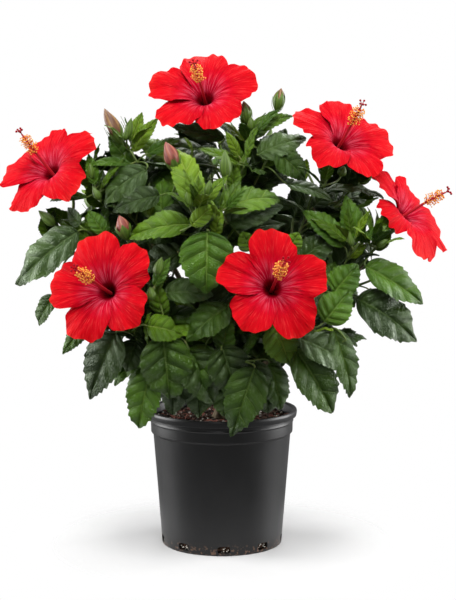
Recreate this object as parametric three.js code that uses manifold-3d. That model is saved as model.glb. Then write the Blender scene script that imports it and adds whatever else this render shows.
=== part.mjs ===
// A red hibiscus shrub in a round black nursery pot, in millimetres, +Z up.
// The origin is the centre of the pot's flat underside, and -Y is the plant's best side, with two low blooms.
// The nodes are the pot, soil, trunk, the masses of leaves with a bough for each, and the large blooms.

import * as THREE from 'three';
import { mergeVertices } from 'three/addons/utils/BufferGeometryUtils.js';
import Module from 'manifold-3d';

const wasm = await Module();
wasm.setup();

// ---------- driving dimensions ----------

const GAP = 0.35; // running gap between solids that touch on the real plant

const POT = {
  height: 154,
  baseRadius: 68,
  shoulderRadius: 77.6, // where the plain wall meets the band under the lip
  shoulderHeight: 127,
  bandRadius: 80,
  lipRadius: 85,
  lipHeight: 8,
  lipThickness: 5,
  wall: 2,
  floor: 2.5,
  sides: 36,
};

// Drain slots round the foot of the wall, each over a shallow arch between two feet. turn is the angle of the
// first one from -Y towards +X, in degrees.
const SLOT = {
  count: 9,
  turn: 2,
  width: 14,
  low: 3.2,
  high: 9.6,
  cutDepth: 12,
  archWidth: 18,
  archHeight: 1.4,
};

const SOIL = { edgeHeight: 140, middleHeight: 143, ripple: 1.2, rippleLength: 52, sides: 18 };

const TRUNK = {
  baseRadius: 7.5,
  topRadius: 5,
  flare: 5, // added at the soil
  flareHeight: 6, // in which the flare falls to a third
  top: [5, -4, 232],
  sides: 7,
  steps: 7,
};

const BOUGH = { baseRadius: 3.8, tipRadius: 2, sag: 0.12, sides: 5, steps: 4 };

// A bloom about its own axis, with its throat at the origin, calyx and stalk behind and the column in front.
const BLOOM = {
  radius: 58,
  rimHeight: 13, // of the petals' edge above the throat
  foldRadius: 38, // where the petals turn from the funnel to spread flat
  foldHeight: 15,
  thickness: 3,
  throatRadius: 8,
  throatDepth: 7,
  footDepth: 14, // of the underside where the petals join
  notch: 0.16, // of the radius, between two petals
  petals: 5,
  sides: 20,
  calyxTop: -9,
  calyxRadius: 8,
  calyxWidest: -24,
  calyxFoot: -34,
  calyxSides: 6,
  stalkRadius: 1.6,
  stalkLength: 34,
  columnLength: 60,
  columnRadius: 1.8,
  brushRadius: 5.5,
  brushLow: 36, // where the brush of stamens is widest
  brushHigh: 54,
  columnSides: 5,
};

// throat is where the funnel narrows to the column's foot. faces is the way the corolla looks, spin turns its
// petals about that, in degrees, and rise tips the column up from it.
const BLOOMS = [
  { name: 'bloom_top', throat: [-18, -45, 499], faces: [-0.13, -0.74, 0.7], spin: 39, rise: -3 },
  { name: 'bloom_upper_right', throat: [130, -50, 450], faces: [0.42, -0.61, 0.7], spin: 15, rise: 6 },
  { name: 'bloom_right', throat: [199, -32, 377], faces: [0.69, -0.42, 0.62], spin: -14, rise: -13 },
  { name: 'bloom_front_right', throat: [52, -165, 307], faces: [0.07, -0.92, 0.4], spin: 33, rise: 10 },
  { name: 'bloom_front_left', throat: [-117, -135, 301], faces: [-0.32, -0.87, 0.36], spin: -17, rise: 7 },
  { name: 'bloom_left', throat: [-183, -45, 420], faces: [-0.5, -0.6, 0.64], spin: -9, rise: 10 },
  { name: 'bloom_back_left', throat: [-94, 168, 352], faces: [-0.32, 0.86, 0.38], spin: 20, rise: 8 },
  { name: 'bloom_back_right', throat: [84, 172, 318], faces: [0.28, 0.93, 0.24], spin: -10, rise: 14 },
];

// A mass is an uneven ellipsoid about its middle with the half sizes in reach. tips are its furthest leaves,
// which draw the surface out into points. fork is the height at which its bough leaves the trunk.
const MASSES = [
  {
    name: 'top', middle: [6, -12, 428], reach: [84, 82, 48], fork: 226,
    tips: [[-50, -60, 470], [80, -30, 484], [9, 6, 486]],
  },
  {
    name: 'front', middle: [-14, -98, 366], reach: [84, 62, 50], fork: 214,
    tips: [[56, -150, 392], [-94, -148, 355], [-14, -172, 307], [-58, -110, 448]],
  },
  {
    name: 'upper_left', middle: [-96, -22, 406], reach: [62, 68, 48], fork: 220,
    tips: [[-70, -40, 480], [-124, -40, 488], [-158, -50, 430]],
  },
  {
    name: 'upper_right', middle: [112, 8, 400], reach: [66, 76, 48], fork: 208,
    tips: [[180, -26, 400], [100, -10, 450]],
  },
  {
    name: 'left', middle: [-150, -42, 335], reach: [54, 66, 52], fork: 200,
    tips: [[-224, -60, 300], [-200, -60, 378], [-203, -40, 252], [-169, -90, 232]],
  },
  {
    name: 'right', middle: [160, -38, 326], reach: [50, 62, 50], fork: 194,
    tips: [[220, -60, 280], [212, -58, 238], [152, -60, 234]],
  },
  {
    name: 'front_left', middle: [-88, -98, 262], reach: [58, 58, 60], fork: 184,
    tips: [[-143, -110, 184], [-91, -112, 155], [-54, -122, 186]],
  },
  {
    name: 'front_right', middle: [96, -94, 264], reach: [62, 60, 58], fork: 178,
    tips: [[117, -112, 168], [144, -62, 172], [75, -66, 176]],
  },
  {
    name: 'front_low', middle: [4, -90, 240], reach: [58, 56, 54], fork: 168,
    tips: [[11, -116, 146], [-40, -100, 168]],
  },
  {
    name: 'back_top', middle: [-4, 92, 408], reach: [76, 66, 46], fork: 222,
    tips: [[-20, 120, 462], [60, 130, 430]],
  },
  {
    name: 'back_left', middle: [-98, 88, 322], reach: [78, 74, 76], fork: 206,
    tips: [[-176, 110, 290], [-150, 130, 232], [-110, 150, 212]],
  },
  {
    name: 'back_right', middle: [100, 98, 320], reach: [76, 74, 74], fork: 190,
    tips: [[178, 120, 280], [120, 150, 214], [165, 90, 226]],
  },
  {
    name: 'back_low', middle: [0, 104, 246], reach: [78, 58, 58], fork: 174,
    tips: [[-30, 150, 172], [40, 150, 166], [0, 160, 200]],
  },
];

const UNEVENNESS = { share: 0.047, waves: [7, 6, 8] }; // ripples of a mass, as a share of its reach
const MASS_DETAIL = 2;
const MERGE = 1e-3; // points nearer than this are one point

const MATERIALS = {
  pot: new THREE.MeshStandardMaterial({ color: 0x2b2b2c, roughness: 0.42, metalness: 0 }),
  soil: new THREE.MeshStandardMaterial({ color: 0x2c1a13, roughness: 0.95, metalness: 0 }),
  bark: new THREE.MeshStandardMaterial({ color: 0x6d6350, roughness: 0.85, metalness: 0 }),
  leaf: new THREE.MeshStandardMaterial({ color: 0x2f5a24, roughness: 0.4, metalness: 0 }),
  petal: new THREE.MeshStandardMaterial({ color: 0xe0121c, roughness: 0.55, metalness: 0 }),
};

// ---------- closed bodies ----------

const vector = (place) => new THREE.Vector3(...place);
const profile = (points) => points.map(([r, z]) => new THREE.Vector2(r, z));

/** The manifold-3d solid of a closed geometry, whose seams are merged. */
function solid(geometry) {
  const plain = geometry.index ? geometry.toNonIndexed() : geometry.clone();
  plain.deleteAttribute('normal');
  plain.deleteAttribute('uv');
  const merged = mergeVertices(plain, MERGE);
  return new wasm.Manifold(
    new wasm.Mesh({
      numProp: 3,
      vertProperties: merged.attributes.position.array,
      triVerts: new Uint32Array(merged.index.array),
    }),
  );
}

function geometryOf(body) {
  const mesh = body.getMesh();
  const geometry = new THREE.BufferGeometry();
  geometry.setAttribute('position', new THREE.BufferAttribute(mesh.vertProperties, 3));
  geometry.setIndex(new THREE.BufferAttribute(mesh.triVerts, 1));
  geometry.computeVertexNormals();
  return geometry;
}

/** A cut can leave crumbs, so only the largest piece is kept. */
function largest(body) {
  return body.decompose().reduce((best, piece) => (piece.volume() > best.volume() ? piece : best));
}

/** LatheGeometry turns about Y: this stands its axis up along +Z. */
function lathe(points, sides) {
  return new THREE.LatheGeometry(profile(points), sides).rotateX(Math.PI / 2);
}

// ---------- pot and soil ----------

const wallRadius = (z) =>
  POT.baseRadius + ((POT.shoulderRadius - POT.baseRadius) * z) / POT.shoulderHeight;

function potShell() {
  const { height, lipRadius, lipThickness, bandRadius, shoulderHeight, shoulderRadius, wall, floor } = POT;
  const lipLow = height - POT.lipHeight;
  return lathe(
    [
      [0, 0],
      [POT.baseRadius - 1.5, 0],
      [wallRadius(2), 2],
      [shoulderRadius, shoulderHeight],
      [bandRadius, shoulderHeight + 2.5],
      [bandRadius + 0.6, lipLow - 0.6],
      [lipRadius, lipLow + 1],
      [lipRadius, height - 2.4],
      [lipRadius - 2.4, height],
      [lipRadius - lipThickness, height - 0.6],
      [bandRadius - wall, lipLow - 1],
      [shoulderRadius - wall, shoulderHeight - 1],
      [wallRadius(floor) - wall, floor],
      [0, floor],
    ],
    POT.sides,
  );
}

/** One drain slot through the foot of the wall, and the shallow arch under it between two feet. */
function drainCuts(angle) {
  const slot = new THREE.BoxGeometry(SLOT.cutDepth, SLOT.width, SLOT.high - SLOT.low);
  slot.translate(POT.baseRadius, 0, (SLOT.high + SLOT.low) / 2);
  const arch = new THREE.BoxGeometry(SLOT.cutDepth, SLOT.archWidth, 2 * SLOT.archHeight);
  arch.translate(POT.baseRadius, 0, 0);
  return [slot, arch].map((cut) => solid(cut.rotateZ(angle)));
}

function potBody() {
  let pot = solid(potShell());
  for (let i = 0; i < SLOT.count; i++) {
    const angle = THREE.MathUtils.degToRad(SLOT.turn - 90 + (360 / SLOT.count) * i);
    for (const cut of drainCuts(angle)) pot = pot.subtract(cut);
  }
  return pot;
}

/** The root ball fills the pot. Its top is gently heaped and rippled, and level where the trunk stands. */
function soilBody() {
  const { edgeHeight, middleHeight, ripple, rippleLength, sides } = SOIL;
  const low = POT.floor + GAP;
  const high = POT.shoulderHeight - 1;
  const inside = (z) => wallRadius(z) - POT.wall - GAP;
  const level = TRUNK.baseRadius + TRUNK.flare + 2;
  const geometry = lathe(
    [
      [0, low],
      [inside(low), low],
      [inside(high), high],
      [inside(high), edgeHeight],
      [inside(high) * 0.6, (edgeHeight + middleHeight) / 2],
      [level, middleHeight],
      [0, middleHeight],
    ],
    sides,
  );
  const place = geometry.attributes.position;
  const turns = (2 * Math.PI) / rippleLength;
  for (let i = 0; i < place.count; i++) {
    const [x, y, z] = [place.getX(i), place.getY(i), place.getZ(i)];
    const rippled = z > high + 1 && Math.hypot(x, y) > level + 1;
    if (rippled) place.setZ(i, z + ripple * (Math.sin(x * turns) + Math.cos(y * turns + 1)));
  }
  return solid(geometry);
}

// ---------- trunk and boughs ----------

/** A tapering limb along a curve that stays in the upright plane whose normal is side. */
function limb(curve, side, radiusAt, sides, steps) {
  const geometry = new THREE.CylinderGeometry(1, 1, 1, sides, steps);
  const place = geometry.attributes.position;
  const local = new THREE.Vector3();
  for (let i = 0; i < place.count; i++) {
    local.fromBufferAttribute(place, i);
    const t = local.y + 0.5;
    const across = new THREE.Vector3().crossVectors(curve.getTangent(t), side);
    const at = curve.getPoint(t);
    at.addScaledVector(across, local.x * radiusAt(t));
    at.addScaledVector(side, local.z * radiusAt(t));
    place.setXYZ(i, at.x, at.y, at.z);
  }
  return solid(geometry);
}

const TRUNK_BASE = new THREE.Vector3(0, 0, SOIL.middleHeight + GAP);
const trunkRise = TRUNK.top[2] - TRUNK_BASE.z;
const trunkCurve = new THREE.QuadraticBezierCurve3(
  TRUNK_BASE,
  new THREE.Vector3(0, 0, TRUNK_BASE.z + trunkRise * 0.6),
  vector(TRUNK.top),
);

function trunkBody(grow = 0) {
  const lean = new THREE.Vector3(-TRUNK.top[1], TRUNK.top[0], 0).normalize();
  const radiusAt = (t) => {
    const taper = TRUNK.baseRadius + (TRUNK.topRadius - TRUNK.baseRadius) * t;
    return taper + TRUNK.flare * Math.exp((-t * trunkRise) / TRUNK.flareHeight) + grow;
  };
  return limb(trunkCurve, lean, radiusAt, TRUNK.sides, TRUNK.steps);
}

/** From inside the trunk at its own height, out and up to the middle of its mass. */
function boughBody(mass, grow = 0) {
  const start = trunkCurve.getPoint((mass.fork - TRUNK_BASE.z) / trunkRise);
  const end = vector(mass.middle);
  const span = end.clone().sub(start);
  const bend = start.clone().addScaledVector(span, 0.5);
  bend.z -= span.length() * BOUGH.sag;
  const side = new THREE.Vector3(-span.y, span.x, 0).normalize();
  const radiusAt = (t) => BOUGH.baseRadius + (BOUGH.tipRadius - BOUGH.baseRadius) * t + grow;
  const curve = new THREE.QuadraticBezierCurve3(start, bend, end);
  return limb(curve, side, radiusAt, BOUGH.sides, BOUGH.steps);
}

// ---------- masses of leaves ----------

/** How far the rippled ellipsoid of a mass reaches from its middle along the unit vector way. */
function reachAlong(mass, way) {
  const [a, b, c] = mass.reach;
  const wave = way.toArray().map((part, i) => Math.sin(part * UNEVENNESS.waves[i] + mass.middle[i]));
  const ripple = UNEVENNESS.share * (wave[0] + wave[1] + wave[2]);
  return (1 + ripple) / Math.hypot(way.x / a, way.y / b, way.z / c);
}

/** Which point of the ball each tip of a mass draws out: the one that lies nearest to its direction. */
function pointsOfTips(mass, ways) {
  const taken = new Map();
  for (const tip of mass.tips) {
    const out = vector(tip).sub(vector(mass.middle)).normalize();
    const free = ways.filter((way) => !taken.has(way));
    const nearest = free.reduce((best, way) => (way.dot(out) > best.dot(out) ? way : best));
    taken.set(nearest, vector(tip));
  }
  return taken;
}

/** The points of an evenly divided ball of radius 1, as one merged geometry. */
function unitBall() {
  const ball = new THREE.IcosahedronGeometry(1, MASS_DETAIL);
  ball.deleteAttribute('normal');
  ball.deleteAttribute('uv');
  return mergeVertices(ball, MERGE);
}

function massBody(mass, grow = 0) {
  const geometry = unitBall();
  const place = geometry.attributes.position;
  const ways = [];
  for (let i = 0; i < place.count; i++) ways.push(new THREE.Vector3().fromBufferAttribute(place, i));
  const tips = pointsOfTips(mass, ways);
  ways.forEach((way, i) => {
    const plain = way.clone().multiplyScalar(reachAlong(mass, way)).add(vector(mass.middle));
    const at = (tips.get(way) ?? plain).clone().addScaledVector(way, grow);
    place.setXYZ(i, at.x, at.y, at.z);
  });
  return solid(geometry);
}

// ---------- blooms ----------

/** Draws the outline of a lathe about +Z in between the petals, more so further out. */
function notchPetals(geometry) {
  const place = geometry.attributes.position;
  for (let i = 0; i < place.count; i++) {
    const [x, y] = [place.getX(i), place.getY(i)];
    const out = Math.hypot(x, y) / BLOOM.radius;
    const petal = Math.sqrt(Math.abs(Math.sin((BLOOM.petals * Math.atan2(x, y)) / 2)));
    const outline = 1 - BLOOM.notch * (1 - petal) * out ** 2;
    place.setXY(i, x * outline, y * outline);
  }
  return geometry;
}

/** The funnel of five joined petals, about +Z. */
function corolla() {
  const { radius, rimHeight, foldRadius, foldHeight, throatRadius, footDepth } = BLOOM;
  const geometry = lathe(
    [
      [0, -footDepth],
      [throatRadius, -footDepth / 2],
      [foldRadius, foldHeight - BLOOM.thickness],
      [radius, rimHeight],
      [foldRadius, foldHeight],
      [throatRadius, 0],
      [0, -BLOOM.throatDepth],
    ],
    BLOOM.sides,
  );
  return solid(notchPetals(geometry));
}

/** The column of joined stamens, with its brush near the end. */
function columnBody(rise) {
  const { columnLength, columnRadius, brushRadius, brushLow, brushHigh, columnSides } = BLOOM;
  const foot = -(BLOOM.throatDepth + BLOOM.footDepth) / 2;
  const geometry = lathe(
    [
      [0, foot],
      [columnRadius, foot],
      [columnRadius, brushLow - 2 * brushRadius],
      [brushRadius, brushLow],
      [brushRadius * 0.8, brushHigh],
      [0, columnLength],
    ],
    columnSides,
  );
  return solid(geometry.rotateX(THREE.MathUtils.degToRad(-rise)));
}

/** The outline of the stalk and calyx, from the stalk's end up to the foot of the funnel, with grow added. */
function calyxProfile(grow) {
  const { stalkRadius, stalkLength, calyxFoot, calyxRadius } = BLOOM;
  return [
    [0, calyxFoot - stalkLength - grow],
    [stalkRadius + grow, calyxFoot - stalkLength - grow],
    [stalkRadius + grow, calyxFoot],
    [calyxRadius + grow, BLOOM.calyxWidest],
    [BLOOM.throatRadius - 1 + grow, BLOOM.calyxTop],
  ];
}

const calyxBody = () => solid(lathe([...calyxProfile(0), [0, BLOOM.calyxTop]], BLOOM.calyxSides));

/** What a bloom keeps clear of leaves: its calyx and stalk, and all that lies in front of its petals. */
function bloomSpace(bloom) {
  const { radius, rimHeight, foldRadius, foldHeight, columnLength } = BLOOM;
  const space = lathe(
    [
      ...calyxProfile(GAP),
      [BLOOM.throatRadius + 1, BLOOM.calyxTop - GAP],
      [foldRadius, foldHeight - BLOOM.thickness - 1],
      [radius + 1, rimHeight - 1],
      [radius + 1, columnLength],
      [0, columnLength],
    ],
    2 * BLOOM.calyxSides,
  );
  return solid(space).transform(bloomMatrix(bloom).elements);
}

/** Local +Z looks along faces, and local +Y is as near upright as that allows. */
function bloomMatrix(bloom) {
  const forward = vector(bloom.faces).normalize();
  const across = new THREE.Vector3(0, 0, 1).cross(forward).normalize();
  const up = new THREE.Vector3().crossVectors(forward, across);
  return new THREE.Matrix4().makeBasis(across, up, forward).setPosition(vector(bloom.throat));
}

function bloomBody(bloom) {
  const petals = corolla().rotate([0, 0, bloom.spin]);
  return petals.add(columnBody(bloom.rise)).add(calyxBody()).transform(bloomMatrix(bloom).elements);
}

// ---------- the whole plant ----------

const plant = new THREE.Group();

function addNode(name, body, material) {
  const mesh = new THREE.Mesh(geometryOf(body), material);
  mesh.name = name;
  plant.add(mesh);
}

const cutBy = (body, cutters) => cutters.reduce((rest, cutter) => rest.subtract(cutter), body);

/** The pot and all that it holds, as one plain cylinder. */
function potSpaceBody() {
  const radius = POT.lipRadius + GAP;
  const cylinder = new THREE.CylinderGeometry(radius, radius, POT.height + GAP, POT.sides);
  return solid(cylinder.rotateX(Math.PI / 2).translate(0, 0, (POT.height + GAP) / 2));
}

const potSpace = potSpaceBody();
const trunkSpace = trunkBody(GAP);
const bloomSpaces = BLOOMS.map(bloomSpace);
const boughSpaces = MASSES.map((mass) => boughBody(mass, GAP));

addNode('pot', potBody(), MATERIALS.pot);
addNode('soil', soilBody(), MATERIALS.soil);
addNode('trunk', trunkBody(), MATERIALS.bark);

MASSES.forEach((mass, i) => {
  const otherBoughs = boughSpaces.filter((_, j) => j !== i);
  const earlierMasses = MASSES.slice(0, i).map((earlier) => massBody(earlier, GAP));
  const earlierBoughs = boughSpaces.slice(0, i);
  const neighbours = [potSpace, trunkSpace, ...bloomSpaces, ...otherBoughs, ...earlierMasses];
  const bough = cutBy(boughBody(mass), [massBody(mass, GAP), trunkSpace, ...earlierBoughs]);
  addNode(`bough_${mass.name}`, largest(bough), MATERIALS.bark);
  addNode(`leaves_${mass.name}`, largest(cutBy(massBody(mass), neighbours)), MATERIALS.leaf);
});

for (const bloom of BLOOMS) addNode(bloom.name, bloomBody(bloom), MATERIALS.petal);

export default plant;
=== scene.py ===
"""A potted hibiscus shrub in bloom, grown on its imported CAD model.

Lengths are millimetres, as in the CAD source, until a mesh is made: MM turns them into the frame's metres.
"""

import math
import random

import bpy
import numpy as np
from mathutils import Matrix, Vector, noise
from mathutils.bvhtree import BVHTree


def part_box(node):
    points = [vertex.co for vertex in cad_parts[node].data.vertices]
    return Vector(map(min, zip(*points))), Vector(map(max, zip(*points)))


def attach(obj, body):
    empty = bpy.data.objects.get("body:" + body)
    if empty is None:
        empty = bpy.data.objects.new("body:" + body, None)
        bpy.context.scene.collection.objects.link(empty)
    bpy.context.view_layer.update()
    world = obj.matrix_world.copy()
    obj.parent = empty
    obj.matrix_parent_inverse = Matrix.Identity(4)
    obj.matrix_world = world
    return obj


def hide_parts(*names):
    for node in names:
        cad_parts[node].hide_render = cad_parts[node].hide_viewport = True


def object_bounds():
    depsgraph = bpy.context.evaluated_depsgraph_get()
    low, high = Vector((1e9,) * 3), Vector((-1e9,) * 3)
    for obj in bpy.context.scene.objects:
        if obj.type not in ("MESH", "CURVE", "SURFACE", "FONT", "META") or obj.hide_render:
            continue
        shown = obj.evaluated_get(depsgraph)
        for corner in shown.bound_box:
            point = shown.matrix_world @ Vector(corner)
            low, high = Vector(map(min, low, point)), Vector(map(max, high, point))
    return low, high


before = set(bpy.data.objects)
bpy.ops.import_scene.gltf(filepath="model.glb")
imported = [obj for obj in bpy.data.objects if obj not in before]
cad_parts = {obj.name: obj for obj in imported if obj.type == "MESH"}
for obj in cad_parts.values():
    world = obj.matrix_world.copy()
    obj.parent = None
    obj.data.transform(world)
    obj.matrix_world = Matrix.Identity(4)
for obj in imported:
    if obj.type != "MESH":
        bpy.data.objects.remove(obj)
cad_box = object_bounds()

MM = 0.001
UP = np.array([0.0, 0.0, 1.0])
LEVEL = np.array([1.0, 1.0, 0.0])  # a point times this is the one at height 0 under it
GOLDEN_TURN = math.radians(137.5)
EYE = np.array([7.0, -1800.0, 482.0])  # where the camera stands
CAMERA = {"lens": 96.6, "sensor_width": 36, "tilt": 83.5}
CROWN_MIDDLE = (np.array(cad_box[0]) + np.array(cad_box[1])) / (2 * MM)


# ---- the plant's plan, hung on the boxes of the CAD nodes

def corners_of(node):
    """The lowest and highest corner of a CAD node's box."""
    return [np.array(corner, float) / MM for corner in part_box(node)]


def middle_of(node):
    return sum(corners_of(node)) / 2


# Driving dimensions of the pot and the plant
POT_HIGH = corners_of("pot")[1]
TRUNK_LOW, TRUNK_HIGH = corners_of("trunk")
POT = {"height": POT_HIGH[2], "base_radius": 68, "shoulder_radius": 77.6, "shoulder_height": 127,
       "band_radius": 80, "lip_radius": POT_HIGH[0], "lip_height": 8, "lip_thickness": 5, "wall": 2,
       "floor": 2.5}
SLOT = {"count": 9, "turn": 2, "width": 14, "low": 3.2, "high": 9.6, "arch": 1.4, "depth": 12}
SOIL = {"edge": 144.5, "middle": 143.5, "foot": 2.9, "reach": 77, "ripple": 2.4, "ripple_pace": 0.045}
TRUNK = {"base_radius": 7.5, "top_radius": 5, "flare": 5, "flare_height": 6, "lean": (5, -4)}
TRUNK_TOP = np.array([*TRUNK["lean"], TRUNK_HIGH[2]])
BOUGH = {"base_radius": 3.8, "tip_radius": 2, "sag": 0.12, "steps": 24, "bare_steps": 13}
SHOOT = {"tries": 15, "radius": 1.7, "side_radius": 1.3, "tuft_radius": 1.4, "taper": 0.62}
PETIOLE = {"radius": 0.8, "set_radius": 0.85, "tuft_radius": 0.6, "bud_radius": 0.95, "taper": 1.25,
           "longest": 34}
BLOOM = {"radius": 58, "clear_beside": 2, "clear_before": 70, "calyx_top": -9, "calyx_foot": -34,
         "calyx_radius": 8, "stalk": 34, "stalk_radius": 1.6, "column": 58, "stamens": 110, "styles": 5}
LEAF = {"length": 76, "spacing": 12, "past_skin": 7, "crowding": 0.16, "skirt_crowding": 0.22, "tries": 7}
CHIPS = {"count": 620, "reach": 75, "off_trunk": 6}
GRIT = {"count": 70, "reach": 74, "off_trunk": 5, "in_a_slot": 9}

# The first seed of each kind of random draw
SEEDS = {"set_leaves": 7, "tufts": 23, "skirt": 41, "chips": 51, "grit": 52, "shoots": 100, "leaves": 300,
         "calyces": 500, "buds": 600, "columns": 700, "petals": 900}

# Each mass of leaves: its bough's end from the middle of its CAD box, its reach along X, Y and Z from there,
# and how far under the trunk's top its bough forks off
MASSES = {
    "top": ((-2, 1, -5), (84, 82, 48), 6),
    "front": ((0, 4, -12), (84, 62, 50), 18),
    "upper_left": ((3, -1, -16), (62, 68, 48), 12),
    "upper_right": ((-1, 0, 0), (66, 76, 48), 24),
    "left": ((8, 0, 25), (54, 66, 52), 32),
    "right": ((-4, 1, 19), (50, 62, 50), 38),
    "front_left": ((-1, -1, 23), (58, 58, 60), 48),
    "front_right": ((0, 1, 16), (62, 60, 58), 54),
    "front_low": ((1, 0, 20), (58, 56, 54), 64),
    "back_top": ((1, -3, -4), (76, 66, 46), 10),
    "back_left": ((1, 1, 15), (78, 74, 76), 26),
    "back_right": ((-3, -1, 15), (76, 74, 74), 42),
    "back_low": ((-1, -1, 10), (78, 58, 58), 58),
}

MASS_MIDDLE = {name: middle_of(f"leaves_{name}") for name in MASSES}

# Each bloom: its throat from the middle of its CAD box, the direction that it faces, and its column's lean to
# the right and up, in degrees
BLOOMS = {
    "top": ((2, -1, -2), (-0.13, -0.74, 0.7), -3, -3),
    "upper_right": ((-8, 6, -1), (0.42, -0.61, 0.7), -2, 4),
    "right": ((-4, 5, -10), (0.69, -0.42, 0.62), 6, -8),
    "front_right": ((-1, -6, -7), (0.07, -0.92, 0.4), 7, 10),
    "front_left": ((5, -5, -5), (-0.32, -0.87, 0.36), -12, 7),
    "left": ((6, 6, -4), (-0.5, -0.6, 0.64), -8, 10),
    "back_left": ((5, 6, -5), (-0.32, 0.86, 0.38), 4, 8),
    "back_right": ((-5, 7, -3), (0.28, 0.93, 0.24), -5, 14),
}

THROATS = {name: middle_of(f"bloom_{name}") + row[0] for name, row in BLOOMS.items()}

# Each bloom's five petals: turn about the bloom's axis in degrees, length, and how far the rim is lifted
PETALS = {
    "top": ((96, 63, 0), (168, 62, 0), (232, 60, 1), (302, 57, 0), (385, 60, 0)),
    "upper_right": ((72, 57, 0), (148, 61, 0), (205, 58, -1), (280, 57, 1), (360, 62, 2)),
    "right": ((43, 50, 0), (119, 57, 0), (183, 54, -8), (249, 63, -1), (311, 62, 1)),
    "front_right": ((90, 59, 0), (157, 57, 0), (232, 57, 0), (303, 60, 1), (372, 58, 0)),
    "front_left": ((113, 63, 0), (178, 62, 0), (248, 60, 0), (324, 58, 0), (402, 58, 0)),
    "left": ((112, 57, 0), (192, 62, 0), (262, 61, 0), (333, 62, -2), (410, 63, 0)),
    "back_left": ((74, 57, 1), (146, 58, 0), (218, 57, -2), (290, 58, 0), (362, 56, 0)),
    "back_right": ((116, 57, 0), (188, 58, 1), (260, 56, 0), (332, 58, -2), (404, 57, 0)),
}

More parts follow.
